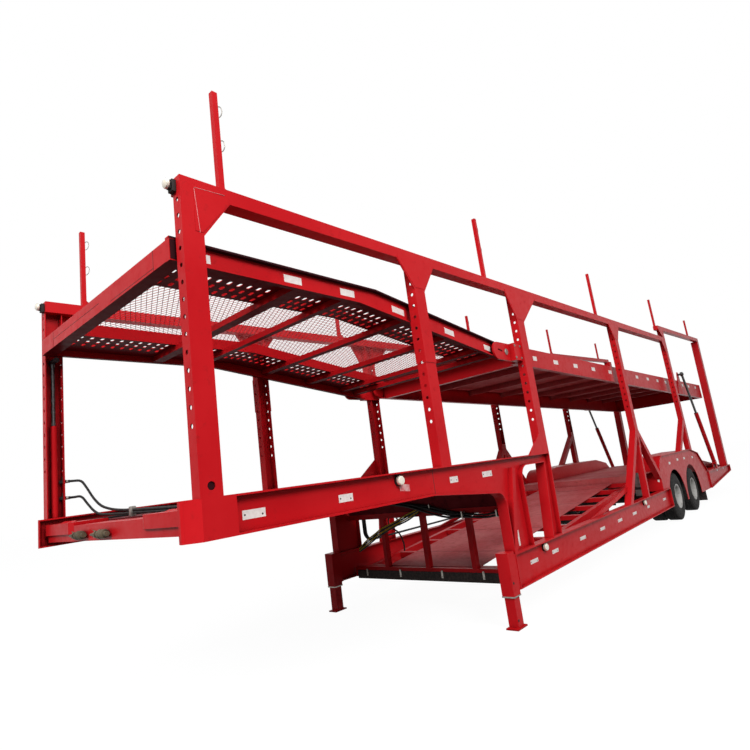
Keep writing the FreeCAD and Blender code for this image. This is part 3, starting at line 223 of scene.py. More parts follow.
RED_TONES = ((0.50, 0.0055, 0.0095), (0.56, 0.011, 0.015), (0.36, 0.008, 0.010))
RED = worn_paint("red_paint", *RED_TONES, dirt_amount=0.15)
# The same red, with painted shade on the faces that look down.
RED_PAINTED_UNDERSIDE_SHADE = worn_paint("red_paint_painted_underside_shade", *RED_TONES, dirt_amount=0.15, under=(0.075, 0.004, 0.008))
# Painted shade: the gooseneck floor is near-black maroon for the shade under the upper deck, darker
# still on faces that look down.
FLOOR_PLATE_PAINTED_SHADE = worn_paint("floor_plate_painted_shade", (0.11, 0.006, 0.010), (0.17, 0.012, 0.016),
                         (0.05, 0.006, 0.008), (0.5, 0.8), 0.7, (0.020, 0.003, 0.004))
DECK = worn_paint("deck_paint", (0.46, 0.055, 0.06), (0.54, 0.13, 0.13), (0.30, 0.07, 0.065),
                  (0.5, 0.75), 0.7)
WHEEL = worn_paint("wheel_paint", (0.42, 0.41, 0.39), (0.52, 0.51, 0.49), (0.20, 0.15, 0.12),
                   (0.4, 0.7), 0.8)
AXLE = worn_paint("axle_paint", (0.025, 0.025, 0.027), (0.06, 0.055, 0.05), (0.12, 0.09, 0.07),
                  (0.5, 0.8), 0.8)
BROWN = worn_paint("coupling_paint", (0.10, 0.035, 0.022), (0.17, 0.07, 0.05),
                   (0.05, 0.03, 0.02), (0.4, 0.6), 0.6)
CAST = worn_paint("cast_black", (0.020, 0.018, 0.018), (0.04, 0.036, 0.034), (0.08, 0.05, 0.04),
                  (0.45, 0.7), 0.6)
# Near-black maroon used as painted shade where the frame lies in shade.
SHADE = worn_paint("shaded_maroon", (0.020, 0.002, 0.004), (0.034, 0.003, 0.006),
                   (0.03, 0.006, 0.008), (0.5, 0.8))
OLIVE = worn_paint("coupling_brass", (0.085, 0.065, 0.040), (0.17, 0.135, 0.090),
                   (0.04, 0.03, 0.02), (0.35, 0.6), 0.6)
GREY = worn_paint("grey_paint", (0.22, 0.21, 0.20), (0.34, 0.33, 0.31), (0.10, 0.08, 0.07),
                  (0.4, 0.7), 0.7)
ROD = bare_metal("dark_rod", (0.10, 0.10, 0.10), (0.030, 0.028, 0.028), 0.3)
ZINC = bare_metal("zinc_bolts", (0.34, 0.32, 0.29), (0.18, 0.16, 0.14), 0.45)
TYRE = rubber("tyre_rubber", (0.016, 0.016, 0.017), (0.055, 0.050, 0.045), 0.82)
FLAP = rubber("flap_rubber", (0.020, 0.017, 0.016), (0.07, 0.05, 0.045), 0.7)
HOSE = rubber("hose_rubber", (0.012, 0.012, 0.013), (0.035, 0.032, 0.03), 0.5)
YELLOW = rubber("yellow_hose", (0.55, 0.36, 0.03), (0.40, 0.26, 0.04), 0.5, 12)
# Light pink for the weld beads, a painted highlight along the plate edges.
BEAD_HIGHLIGHT = rubber("weld_bead_highlight", (0.62, 0.16, 0.17), (0.74, 0.36, 0.35), 0.4, 90)
PINK = rubber("pink_label", (0.62, 0.16, 0.17), (0.80, 0.62, 0.58), 0.45, 18)
LENS = mottled("lamp_lens", (0.3, (0.78, 0.70, 0.56)), (0.7, (0.88, 0.83, 0.72)), 45, 3, 0.6,
               {"Roughness": 0.18, "Coat Weight": 0.6})
LENS_RED = tinted_lens("red_lens", (0.42, 0.012, 0.012))
LENS_AMBER = tinted_lens("amber_lens", (0.75, 0.22, 0.015))
STICKER = mottled("sticker", (0.35, (0.86, 0.80, 0.76)), (0.75, (0.70, 0.60, 0.57)), 35, 5, 0.7,
                  {"Roughness": 0.42})

# Starts of the nodes' names; what isn't listed is red
NODE_PAINTS = {
    ("tyres",): TYRE,
    ("rims",): WHEEL,
    ("rear_rod", "front_lift_rod"): ROD,
    ("axles", "suspension"): AXLE,
    ("well_deck_plate", "axle_deck", "rear_deck_plate"): DECK,
    ("gooseneck_floor",): FLOOR_PLATE_PAINTED_SHADE,
    ("front_deck_frame", "front_deck_tracks"): RED_PAINTED_UNDERSIDE_SHADE,
    ("mudflaps",): FLAP,
    ("air_couplings",): BROWN,
    ("marker_lamps",): CAST,
    ("hydraulic_hoses",): HOSE,
}


def paint(name, material):
    obj = nodes[name]
    for slot in obj.material_slots:
        slot.material = material
    if not obj.material_slots:
        obj.data.materials.append(material)


for node in nodes:
    fitting = [material for starts, material in NODE_PAINTS.items() if node.startswith(starts)]
    paint(node, fitting[0] if fitting else RED)


# Mesh helpers

def add_object(name, data):
    obj = bpy.data.objects.new(name, data)
    bpy.context.scene.collection.objects.link(obj)
    return obj


def round_axis(axis):
    """The unit axis, and the unit vector square to it at an angle."""
    axis = Vector(axis).normalized()
    side = axis.orthogonal().normalized()
    up = axis.cross(side)
    return axis, lambda angle: side * math.cos(angle) + up * math.sin(angle)


def smooth_path(points, steps=4):
    """Catmull-Rom points through (station, y, z) places."""
    pts = [Vector((at(s), y, z)) for s, y, z in points]
    pts = [pts[0] * 2 - pts[1]] + pts + [pts[-1] * 2 - pts[-2]]
    path = []
    for p0, p1, p2, p3 in zip(pts, pts[1:], pts[2:], pts[3:]):
        for i in range(steps):
            t = i / steps
            path.append((p1 * 2 + (p2 - p0) * t + (p0 * 2 - p1 * 5 + p2 * 4 - p3) * t * t
                         + (p1 * 3 - p0 - p2 * 3 + p3) * t * t * t) / 2)
    path.append(pts[-2])
    return path


class Piece:
    """Collects shapes in one mesh, which rides on one body."""

    def __init__(self, name, material, body, slot):
        self.name, self.material, self.body, self.slot = name, material, body, slot
        self.bm = bmesh.new()

    def box(self, lo, hi, bevel=0.0):
        lo, hi = Vector(lo), Vector(hi)
        matrix = Matrix.Translation((lo + hi) / 2) @ Matrix.Diagonal((*(hi - lo), 1))
        made = bmesh.ops.create_cube(self.bm, size=1, matrix=matrix)
        if bevel:
            edges = list({e for v in made["verts"] for e in v.link_edges})
            bmesh.ops.bevel(self.bm, geom=edges, offset=bevel, segments=2, affect="EDGES",
                            profile=0.7)

    def slab(self, loop, other):
        """Solid between two loops of as many points."""
        a = [self.bm.verts.new(p) for p in loop]
        b = [self.bm.verts.new(p) for p in other]
        self.bm.faces.new(a)
        self.bm.faces.new(b[::-1])
        for k in range(len(a)):
            n = (k + 1) % len(a)
            self.bm.faces.new((a[k], b[k], b[n], a[n]))

    def side_plate(self, points, y, thick):
        """Thin plate of (station, z) points on a side face."""
        self.slab([(at(s), y, z) for s, z in points], [(at(s), y + thick, z) for s, z in points])

    def sticker(self, s0, s1, y, z0, z1, half, thick):
        """Thin plate on a side face, its ends centred at two heights."""
        self.side_plate([(s0, z0 - half), (s1, z1 - half), (s1, z1 + half), (s0, z0 + half)],
                        y, thick)

    def lathe(self, centre, axis, profile, segments=24, closed=False, shape=None):
        """(radius, along) points turned round an axis through centre, its ends capped or joined."""
        axis, out = round_axis(axis)
        centre = Vector(centre)
        rings = []
        for i in range(segments):
            outward = out(math.tau * i / segments)
            rings.append([self.bm.verts.new(centre + outward * (shape(i, r, z) if shape else r)
                                            + axis * z) for r, z in profile])
        count = len(profile)
        for i in range(segments):
            a, b = rings[i], rings[(i + 1) % segments]
            for j in range(count if closed else count - 1):
                k = (j + 1) % count
                self.bm.faces.new((a[j], a[k], b[k], b[j]))
        for j in (0, count - 1):
            if not closed and profile[j][0] > 1e-5:
                self.bm.faces.new([ring[j] for ring in rings])

    def pierced_disc(self, centre, axis, radii, z0, z1, holes, step=8, open_steps=3):
        """Disc between the first and last radius, with holes between the middle two."""
        axis, out = round_axis(axis)
        count = holes * step
        grid = []
        for i in range(count):
            outward = out(math.tau * i / count)
            grid.append([[self.bm.verts.new(centre + outward * r + axis * z) for z in (z0, z1)]
                         for r in radii])
        for i in range(count):
            n = (i + 1) % count
            for k in range(len(radii) - 1):
                a, b, c, d = grid[i][k], grid[i][k + 1], grid[n][k + 1], grid[n][k]
                if k != 1 or i % step >= open_steps:
                    self.bm.faces.new((a[0], b[0], c[0], d[0]))
                    self.bm.faces.new((a[1], d[1], c[1], b[1]))
                    continue
                walls = [(a, d), (b, c)]
                if i % step == 0:
                    walls.append((a, b))
                if i % step == open_steps - 1:
                    walls.append((d, c))
                for u, v in walls:
                    self.bm.faces.new((u[0], v[0], v[1], u[1]))
            for k in (0, len(radii) - 1):
                a, d = grid[i][k], grid[n][k]
                self.bm.faces.new((a[0], d[0], d[1], a[1]))

    def bolt(self, centre, axis, radius, height):
        """Hexagon head on a washer."""
        washer = radius * 1.5
        self.lathe(centre, axis, [(washer, 0), (washer, 0.002), (radius, 0.002)], 16)
        self.lathe(centre, axis, [(radius, 0.002), (radius, height),
                                  (radius * 0.85, height + 0.0015)], 6)

    def tube(self, points, radius, segments=8, closed=False):
        """Round bar along points, with mitred turns."""
        points = [Vector(p) for p in points]
        count = len(points)
        rings = []
        side = None
        for i, p in enumerate(points):
            before = points[i - 1] if closed else points[max(0, i - 1)]
            after = points[(i + 1) % count] if closed else points[min(count - 1, i + 1)]
            direction = (after - before).normalized()
            if side is None:
                side = direction.orthogonal()
            side = (side - direction * side.dot(direction)).normalized()
            up = direction.cross(side)
            turns = [math.tau * k / segments for k in range(segments)]
            rings.append([self.bm.verts.new(p + (side * math.cos(a) + up * math.sin(a)) * radius)
                          for a in turns])
        pairs = list(zip(rings, rings[1:]))
        if closed:
            pairs.append((rings[-1], rings[0]))
        for a, b in pairs:
            for k in range(segments):
                n = (k + 1) % segments
                self.bm.faces.new((a[k], a[n], b[n], b[k]))
        if not closed:
            self.bm.faces.new(rings[0][::-1])
            self.bm.faces.new(rings[-1])

    def hose(self, points, radius):
        self.tube(smooth_path(points), radius)

    def done(self, smooth=0):
        """Makes the object, its edges sharp over an angle in degrees, or flat faces for 0."""
        bmesh.ops.remove_doubles(self.bm, verts=self.bm.verts, dist=1e-6)
        bmesh.ops.recalc_face_normals(self.bm, faces=self.bm.faces)
        mesh = bpy.data.meshes.new(self.name)
        self.bm.to_mesh(mesh)
        self.bm.free()
        mesh.materials.append(self.material)
        if smooth:
            for poly in mesh.polygons:
                poly.use_smooth = True
            mesh.set_sharp_from_angle(angle=math.radians(smooth))
        obj = add_object(self.name, mesh)
        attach(obj, self.body)
        return obj


# Camera, fitted to the photograph

CAMERA_PLACE = (-9.148, -3.866, 1.539)
CAMERA_RIGHT = Vector((0.66823, -0.73254, -0.12982))
CAMERA_UP = Vector((-0.05333, -0.22123, 0.97375))
SENSOR_MM, FOCAL_MM = 36, 25.125


def camera():
    cam = bpy.data.cameras.new("camera")
    cam.sensor_width = SENSOR_MM
    cam.lens = FOCAL_MM
    cam.clip_start = 0.05
    cam.clip_end = 200
    obj = add_object("camera", cam)
    back = CAMERA_RIGHT.cross(CAMERA_UP)
    turn = Matrix((CAMERA_RIGHT, CAMERA_UP, back)).transposed().to_4x4()
    obj.matrix_world = Matrix.Translation(CAMERA_PLACE) @ turn
    bpy.context.scene.camera = obj


# Wire mesh between the front deck's wheel tracks

DECK_BEND = 1.88
MESH_PITCH_X, MESH_PITCH_Y, MESH_STRAND = 0.042, 0.095, 0.004


def deck_mesh():
    """Expanded metal in the plane of the front deck, bent where the deck bends."""
    piece = Piece("deck_wire_mesh", DECK, "front_deck", "deck_paint")
    lo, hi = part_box("front_deck_mesh")
    bend, half = at(DECK_BEND), hi.y
    slope = (lo.z + 0.006 - hi.z) / (hi.x - bend)
    rows = int((hi.x - lo.x) / MESH_PITCH_X)
    cols = int(2 * half / MESH_PITCH_Y)
    dx, dy = (hi.x - lo.x) / rows / 2, half / cols

    def lie(outline, rise):
        """Points kept inside the deck's opening, at a height over its plane."""
        placed = []
        for x, y in outline:
            x, y = min(max(x, lo.x), hi.x), min(max(y, -half), half)
            placed.append((x, y, hi.z - 0.003 + max(0.0, x - bend) * slope + rise))
        return placed

    for i in range(rows):
        for j in range(cols):
            x, y = lo.x + (2 * i + 1) * dx, -half + (2 * j + 1) * dy
            corners = [Vector(c) for c in ((x - dx, y), (x, y + dy), (x + dx, y), (x, y - dy))]
            for a, b in zip(corners, corners[1:] + corners[:1]):
                along = (b - a).normalized()
                n = Vector((-along.y, along.x)) * MESH_STRAND / 2
                strand = (a + n, b + n, b - n, a - n)
                piece.slab(lie(strand, 0.002), lie(strand, -0.001))
    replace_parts(piece.done(), "front_deck_mesh")


# Tyres and wheels

AXLES = (("front", 9.79), ("rear", 11.10))
HUB_Z = 0.4275
OUTER_TYRE, INNER_TYRE = 1.106, 0.848
TWIN_MIDDLE = (OUTER_TYRE + INNER_TYRE) / 2
TYRE_STEPS = 168
BLOCK_DROP = 0.008
NUT_CIRCLE, NUTS = 0.128, 10
CAP_BOLT_CIRCLE, CAP_BOLTS = 0.068, 8


def mirrored(half):
    return [(r, -y) for r, y in reversed(half)]


def tyre_profile():
    half = [(0.205, 0.096), (0.222, 0.109), (0.250, 0.113), (0.252, 0.1145), (0.275, 0.1155),
            (0.277, 0.117), (0.330, 0.1172), (0.332, 0.1158), (0.375, 0.113), (0.405, 0.107),
            (0.418, 0.100), (0.4262, 0.090), (0.4270, 0.066), (0.4150, 0.064), (0.4150, 0.056),
            (0.4272, 0.054), (0.4274, 0.026), (0.4155, 0.024), (0.4155, 0.015), (0.4274, 0.013)]
    return half + mirrored(half)


def tread(i, r, y):
    """Shoulder blocks: every third step lies lower at the tyre's edges."""
    at_shoulder = 0.401 < r < 0.4272 and 0.060 < abs(y) < 0.108
    return r - BLOCK_DROP if i % 3 == 0 and at_shoulder else r


def tyres(side, wheel, station):
    piece = Piece("tread_" + wheel, TYRE, "wheel_" + wheel, "tyre_rubber")
    for y in (OUTER_TYRE, INNER_TYRE):
        piece.lathe((at(station), side * y, HUB_Z), (0, 1, 0), tyre_profile(), TYRE_STEPS, True,
                    tread)
    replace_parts(piece.done(35), "tyres_" + wheel)


def rim_profile():
    """Closed section: lips and well on the inside, the tyre's seat on the outside."""
    inner = [(0.2215, 0.1135), (0.2215, 0.1175), (0.2150, 0.1195), (0.1945, 0.1130),
             (0.1895, 0.1000)]
    seat = [(0.2035, 0.0950), (0.2125, 0.1140)]
    return inner + [(0.1870, 0.0)] + mirrored(inner) + mirrored(seat) + seat


def rims(side, wheel, station):
    out = Vector((0, side, 0))
    centre = Vector((at(station), side * TWIN_MIDDLE, HUB_Z))

    def spot(k, count, radius, along):
        a = math.tau * k / count
        return centre + Vector((math.cos(a) * radius, side * along, math.sin(a) * radius))

    disc = Piece("wheel_disc_" + wheel, WHEEL, "wheel_" + wheel, "wheel_paint")
    for y in (OUTER_TYRE, INNER_TYRE):
        disc.lathe((at(station), side * y, HUB_Z), (0, 1, 0), rim_profile(), 64, True)
    disc.pierced_disc(centre, out, (0.100, 0.152, 0.176, 0.192), -0.008, 0.008, 8)
    disc.lathe(centre, out,
               [(0.104, 0.008), (0.104, 0.030), (0.086, 0.040), (0.078, 0.110), (0.074, 0.118),
                (0.060, 0.121), (0.058, 0.136), (0.048, 0.140), (0.0, 0.140)], 40)
    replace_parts(disc.done(30), "rims_" + wheel)
    drum = Piece("brake_drum_" + wheel, CAST, "wheel_" + wheel, "wheel_paint")
    drum.lathe(centre, out,
               [(0.0, -0.008), (0.118, -0.008), (0.150, -0.020), (0.162, -0.035),
                (0.165, -0.045), (0.165, -0.085), (0.160, -0.088), (0.160, -0.094),
                (0.165, -0.097), (0.165, -0.146), (0.150, -0.150), (0.0, -0.150)], 40)
    drum.done(30)
    nuts = Piece("wheel_nuts_" + wheel, ZINC, "wheel_" + wheel, "wheel_paint")
    for k in range(NUTS):
        place = spot(k + 0.5, NUTS, NUT_CIRCLE, 0.008)
        nuts.bolt(place, out, 0.0125, 0.018)
        nuts.lathe(place, out, [(0.007, 0.018), (0.007, 0.034), (0.005, 0.036)], 8)
    for k in range(CAP_BOLTS):
        nuts.bolt(spot(k, CAP_BOLTS, CAP_BOLT_CIRCLE, 0.117), out, 0.006, 0.006)
    nuts.done(30)


def wheels():
    for side, name in SIDES:
        for place, station in AXLES:
            tyres(side, place + "_" + name, station)
            rims(side, place + "_" + name, station)


# Marker lamps on rubber arms

FRONT_LAMP = (0.070, 3.390)
SIDE_LAMPS = ((1.75, 1.54), (3.965, 0.64), (7.61, 0.64))    # station, top of the beam


def lamps():
    arms = Piece("lamp_arms", CAST, "chassis", "lamp_lens")
    lens = Piece("lamp_lenses", LENS, "chassis", "lamp_lens")
    for side, _ in SIDES:
        out = (0, side, 0)
        x, y, z = at(FRONT_LAMP[0]), side * (OUTER - 0.066), FRONT_LAMP[1]
        arms.box((x - 0.028, y - 0.026, z - 0.046), (x, y + 0.026, z + 0.032), 0.006)
        arms.box((x - 0.042, y - 0.018, z - 0.030), (x - 0.028, y + 0.018, z + 0.024), 0.004)
        lens.lathe((x - 0.041, y, z), (-1, 0, 0),
                   [(0.030, 0), (0.033, 0.006), (0.031, 0.018), (0.020, 0.025), (0, 0.026)])
        for station, top in SIDE_LAMPS:
            x, z = at(station), top - 0.064
            y0, y1 = span(side, WEB, WEB + 0.022)
            arms.lathe((x, side * WEB, z), out,
                       [(0.040, 0), (0.040, 0.012), (0.026, 0.016), (0.024, 0.030)], 20)
            arms.box((x - 0.018, y0, z + 0.030), (x + 0.018, y1, top - 0.012), 0.004)
            lens.lathe((x, side * (WEB + 0.016), z), out,
                       [(0.034, 0), (0.037, 0.006), (0.036, 0.024), (0.030, 0.031), (0, 0.033)],
                       28)
    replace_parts(arms.done(30), "marker_lamps")
    lens.done(30)


# Blank stickers: stations of their ends, or of their middles on the rear deck

FILM = 0.0008
GOOSE_Z, GOOSE_HALF = 1.415, 0.026
GOOSE_STICKERS = ((0.35, 0.51), (1.112, 1.248), (2.45, 2.575), (2.995, 3.17))
BEAM_Z, BEAM_HALF = 0.487, 0.019
BEAM_STICKERS = ((3.63, 3.80), (4.15, 4.31), (4.94, 5.12), (5.63, 5.80), (6.33, 6.51),
                 (7.01, 7.19), (7.77, 7.90), (8.73, 8.91))
ARCH_STICKERS = ((9.55, 9.67, 1.051), (10.18, 10.31, 1.075), (10.74, 10.87, 1.066),
                 (11.478, 11.60, 1.04))
UPRIGHT_STICKERS = ((3.528, 1.186, 1.336), (3.462, 0.680, 0.828))
FRONT_DECK_WEB = 1.122
FRONT_STICKERS = ((0.24, 0.33), (0.917, 1.08), (1.48, 1.64), (2.11, 2.275), (2.90, 3.06),
                  (3.63, 3.76))
REAR_DECK_WEB = 1.10
DECK_STICKERS = (4.925, 5.574, 6.279, 7.004, 7.79, 8.52, 9.314, 10.037, 10.761, 11.431, 12.17,
                 13.02, 13.67, 14.457)


def front_web_middle(s):
    """Height of the middle of the front deck's side web."""
    return 3.006 - 0.1345 * max(0.0, s - 1.77)


def side_stickers():
    piece = Piece("side_stickers", STICKER, "chassis", "red_paint")
    for side, _ in SIDES:
        y, film = side * WEB, side * FILM
        for a, b in GOOSE_STICKERS:
            piece.sticker(a, b, y, GOOSE_Z, GOOSE_Z, GOOSE_HALF, film)
        for a, b in BEAM_STICKERS:
            piece.sticker(a, b, y, BEAM_Z, BEAM_Z, BEAM_HALF, film)
        for a, b, z in ARCH_STICKERS:
            piece.sticker(a, b, side * (OUTER - 0.030), z, z, 0.022, film)
        y0, y1 = span(side, 1.205, 1.235)
        piece.box((at(8.72) - FILM, y0, 0.79), (at(8.72) + 0.0002, y1, 0.985))
        for s in (13.95, 14.75):
            z = 0.590 - 0.012 * (s - 13)
            piece.sticker(s - 0.06, s + 0.06, y, z, z - 0.0015, 0.024, film)
        for s, z0, z1 in UPRIGHT_STICKERS:
            middle = (z0 + z1) / 2
            piece.sticker(s, s + 0.032, y, middle, middle, (z1 - z0) / 2, film)
    piece.done()


def label_and_dots():
    """The pink label behind the lamp, and the rivets of the stickers."""
    label = Piece("pink_label", PINK, "chassis", "red_paint")
    dots = Piece("sticker_dots", CAST, "chassis", "red_paint")
    for side, _ in SIDES:
        label.sticker(1.765, 1.885, side * WEB, 1.424, 1.410, 0.026, side * FILM)
        for places, z, drop in ((GOOSE_STICKERS, GOOSE_Z, 0.008), (BEAM_STICKERS, BEAM_Z, 0.006)):
            for a, b in places:
                for s, height in ((a + 0.016, z), (b - 0.022, z - drop)):
                    dots.lathe((at(s), side * (WEB + FILM), height), (0, side, 0),
                               [(0.006, 0), (0.006, 0.0006), (0, 0.0006)], 10)
    label.done()
    dots.done()


def deck_stickers():
    rear = Piece("rear_deck_stickers", STICKER, "rear_deck", "red_paint")
    front = Piece("front_deck_stickers", STICKER, "front_deck", "red_paint")
    for side, _ in SIDES:
        for s in DECK_STICKERS:
            z = 2.7295 - 0.0035 * (s - DECK_STICKERS[0])
            half = 0.075 if s > 5 else 0.055
            rear.sticker(s - half, s + half, side * REAR_DECK_WEB, z, z, 0.029, side * FILM)
        for a, b in FRONT_STICKERS:
            front.sticker(a, b, side * FRONT_DECK_WEB, front_web_middle(a), front_web_middle(b),
                          0.029, side * FILM)
    rear.done()
    front.done()


# Stakes' wire loops, clips and seams

LOOPS = ((0.40, 3.82), (0.40, 4.08), (3.77, 3.90), (3.77, 4.15), (7.38, 3.98), (7.38, 4.22),
         (11.19, 4.16), (11.19, 4.36), (14.59, 4.22), (14.59, 4.40))    # station, height
LOOP_STEPS = 16


def stake_loops():
    piece = Piece("stake_loops", ZINC, "chassis", "red_paint")
    for side, _ in SIDES:
        for s, z in LOOPS:
            ring = []
            for k in range(LOOP_STEPS):
                a = math.tau * k / LOOP_STEPS
                ring.append((at(s) + 0.036 + math.cos(a) * 0.022 + math.sin(a) * 0.010,
                             side * (OUTER - 0.075), z + math.sin(a) * 0.045))
            piece.tube(ring, 0.0035, 8, True)
    piece.done(40)


def strip_clips():
    """Clips that hold the rubber strip in front of the well."""
    piece = Piece("strip_clips", ZINC, "chassis", "flap_rubber")
    for y in (-0.721, -0.19, 0.415, 0.955):
        piece.box((at(3.519), y - 0.012, 0.335), (at(3.522), y + 0.012, 0.415), 0.0008)
        for z in (0.35, 0.40):
            piece.bolt((at(3.519), y, z), (-1, 0, 0), 0.006, 0.005)
    piece.done(30)


def well_deck_top(s):
    return 0.442 + 0.438 * (s - 3.530) / 4.570


def seams():
    """Weld seams and plate joints as thin dark lines."""
    piece = Piece("side_seams", CAST, "chassis", "red_paint")
    for side, _ in SIDES:
        y0, y1 = span(side, WEB - 0.001, WEB + 0.0008)
        for s0, s1 in ((2.210, 2.215), (0.290, 0.293)):
            piece.box((at(s0), y0, 1.327), (at(s1), y1, 1.528))
    for s in (4.16, 5.20, 6.60, 7.70):
        z = well_deck_top(s)
        piece.box((at(s) - 0.002, -0.64, z - 0.002), (at(s) + 0.002, 0.64, z + 0.0012))
    piece.done()


# Hoses with their clips

THIN_HOSE, LIFT_HOSE, PIPE_HOSE, BUNDLE_HOSE = 0.009, 0.0105, 0.010, 0.0115    # radii
LIFT_HOSES = (
    [(0.20, 1.23, 1.835), (0.28, 1.21, 1.835), (0.33, 1.17, 1.825), (0.355, 1.12, 1.765),
     (0.37, 1.01, 1.665), (0.37, 0.86, 1.595), (0.37, 0.70, 1.560), (0.37, 0.50, 1.538),
     (0.37, 0.263, 1.525)],
    [(0.20, 1.23, 1.695), (0.28, 1.21, 1.695), (0.33, 1.17, 1.69), (0.36, 1.11, 1.62),
     (0.37, 1.00, 1.555), (0.37, 0.84, 1.520), (0.37, 0.50, 1.508), (0.37, 0.263, 1.505)])
NECK_LOOP = [(3.67, 0.45, 0.905), (3.67, 0.50, 1.0), (3.67, 0.60, 1.01), (3.67, 0.635, 0.95),
             (3.67, 0.60, 0.88), (3.67, 0.49, 0.82), (3.67, 0.43, 0.70), (3.68, 0.44, 0.60)]


def lift_hoses(black, clips):
    """Two hoses from the right front post to the left, behind the front crossbeam."""
    aslant = (1, -0.3, 0)
    for points in LIFT_HOSES:
        black.hose(points, LIFT_HOSE)
        x, y, z = at(points[0][0]), points[0][1], points[0][2]
        black.lathe((x, y, z), aslant,
                    [(0.016, -0.02), (0.016, 0.03), (0.013, 0.032), (0.013, 0.06)], 6)
        clips.lathe((x, y, z), aslant, [(0.0145, 0.03), (0.0145, 0.045)], 12)
        black.box((x - 0.002, y - 0.012, z), (x + 0.022, y + 0.012, z + 0.045), 0.004)
        end = points[-1][2]
        black.tube([(at(0.37), 0.245, end), (at(0.40), -0.40, end - 0.02),
                    (at(0.42), -1.05, end - 0.035)], LIFT_HOSE)
    clips.box((at(0.345), 0.238, 1.478), (at(0.392), 0.266, 1.552), 0.009)


def neck_bundle(black, clips):
    """Five hoses across the neck, under the floor's slope."""
    for k in range(5):
        dx, dz, sag = -0.014 * (k % 3), 0.026 * (k // 3), 0.012 * ((k * 2) % 5)
        places = ((3.46, 0.36, 1.180), (3.47, 0.10, 1.135), (3.475, -0.16, 1.105 - sag),
                  (3.500, -0.40, 1.040 - sag), (3.512, -0.62, 0.985), (3.512, -0.85, 0.968),
                  (3.512, -1.03, 0.985), (3.512, -1.13, 1.01))
        black.hose([(s + dx, y, z + dz) for s, y, z in places], BUNDLE_HOSE)
    for y, z in ((-0.18, 1.095), (-0.60, 0.998), (-1.02, 0.995)):
        clips.box((at(3.466), y - 0.008, z - 0.030), (at(3.527), y + 0.008, z + 0.045), 0.004)


def leg_hoses(black, yellow):
    """Four hoses that come down to the right leg, two of them yellow, and a loop behind them."""
    places = ((3.49, 0.0, 1.055, 0.6), (3.515, 0.20, 0.972, 1), (3.518, 0.40, 0.912, 0.8),
              (3.518, 0.62, 0.828, 1), (3.518, 0.75, 0.771, 0.9), (3.518, 0.90, 0.690, 1),
              (3.518, 1.04, 0.625, 0.5))    # station, y, z, share of the hoses' spacing
    for k, piece in enumerate((black, yellow, black, yellow)):
        piece.hose([(s, y, z + 0.022 * k * share) for s, y, z, share in places], THIN_HOSE)
    black.hose(NECK_LOOP, PIPE_HOSE)


def loose_hoses():
    black = Piece("loose_hoses", HOSE, "chassis", "hose_rubber")
    yellow = Piece("yellow_hoses", YELLOW, "chassis", "hose_rubber")
    clips = Piece("hose_clips", ZINC, "chassis", "hose_rubber")
    lift_hoses(black, clips)
    neck_bundle(black, clips)
    leg_hoses(black, yellow)
    black.done(50)
    yellow.done(50)
    clips.done(30)


# Welded plates, straps, bolts and couplings

RAIL_DEPTH = 0.100
# front and rear face of the post, reach of the plate to the front and to the rear, its drop
GUSSETS = ((0.07, 0.21, 0.0, 0.20, 0.265), (2.29, 2.44, 0.20, 0.20, 0.265),
           (4.26, 4.43, 0.20, 0.42, 0.335), (7.87, 8.02, 0.20, 0.20, 0.265))


def rail_bottom(s):
    return 3.44 + 0.25 * (s - 0.07) / 11.45 - RAIL_DEPTH


def gusset_plates():
    """Lapped plates over the joints of posts and rail."""
    piece = Piece("lapped_gussets", RED, "chassis", "red_paint")
    for s0, s1, front, rear, drop in GUSSETS:
        low = rail_bottom((s0 + s1) / 2) - drop + 0.02
        lap_x, lap_z = (0.0, 0.03) if front else (0.075, 0.045)
        a, b = s0 + lap_x - front, s1 + rear
        points = [(a + 0.012, rail_bottom(a) + lap_z), (b - 0.012, rail_bottom(b) + lap_z),
                  (b - 0.012, rail_bottom(b) - 0.004), (s1 - 0.008, low), (s0 + lap_x + 0.008, low)]
        if front:
            points.append((a + 0.012, rail_bottom(a) - 0.004))
        for side, _ in SIDES:
            piece.side_plate(points, side * OUTER, side * 0.0026)
    piece.done()


LEG, LEG_HALF = 3.185, 0.0655
LEG_STRAP = (0.275, 0.288)
LEG_PINS = ((0.0625, 0.402), (0.050, 0.076))    # distance from the leg's middle, height
DECK_PINS = ((4.0, 2.715), (4.345, 2.735))
PLUG = [(0.011, -0.004), (0.011, 0.003), (0.0, 0.003)]


def small_fittings():
    zinc = Piece("straps_and_bolts", ZINC, "chassis", "red_paint")
    dark = Piece("dark_fittings", CAST, "chassis", "red_paint")
    holes = Piece("lash_hole_painted_shade", SHADE, "chassis", "red_paint")
    for side, _ in SIDES:
        out = (0, side, 0)
        x, y = at(LEG), side * (OUTER - 0.068)
        zinc.box((x - LEG_HALF, y - LEG_HALF, LEG_STRAP[0]),
                 (x + LEG_HALF, y + LEG_HALF, LEG_STRAP[1]), 0.002)
        for face, z in LEG_PINS:
            dark.lathe((at(3.150), y + side * face, z), out, PLUG, 12)
        for s, z in DECK_PINS:
            zinc.lathe((at(s), side * 1.185, z), out,
                       [(0.036, 0.0), (0.036, 0.006), (0.030, 0.010), (0.0, 0.010)], 24)
        for stations, face, heights in (((3.36, 3.46), WEB, (0.40, 0.58)),
                                        ((4.11, 4.24), 1.245, (2.645, 2.785))):
            for s in stations:
                for z in heights:
                    zinc.bolt((at(s), side * face, z), out, 0.010, 0.007)
        # Painted shade: near-black discs in the front posts' lash holes.
        holes.lathe((at(0.14), side * (OUTER - 0.0085), 1.60), out,
                    [(0.032, -0.004), (0.032, 0), (0, 0)], 24)
    for y0, y1, z0, z1 in ((-0.952, -0.948, 2.934, 3.067), (0.868, 0.872, 2.934, 3.067),
                           (-0.10, 0.87, 3.000, 3.003), (-0.95, -0.30, 2.950, 2.953)):
        dark.box((at(0.0392), y0, z0), (at(0.041), y1, z1))
    holes.done(30)
    zinc.done(30)
    dark.done(30)


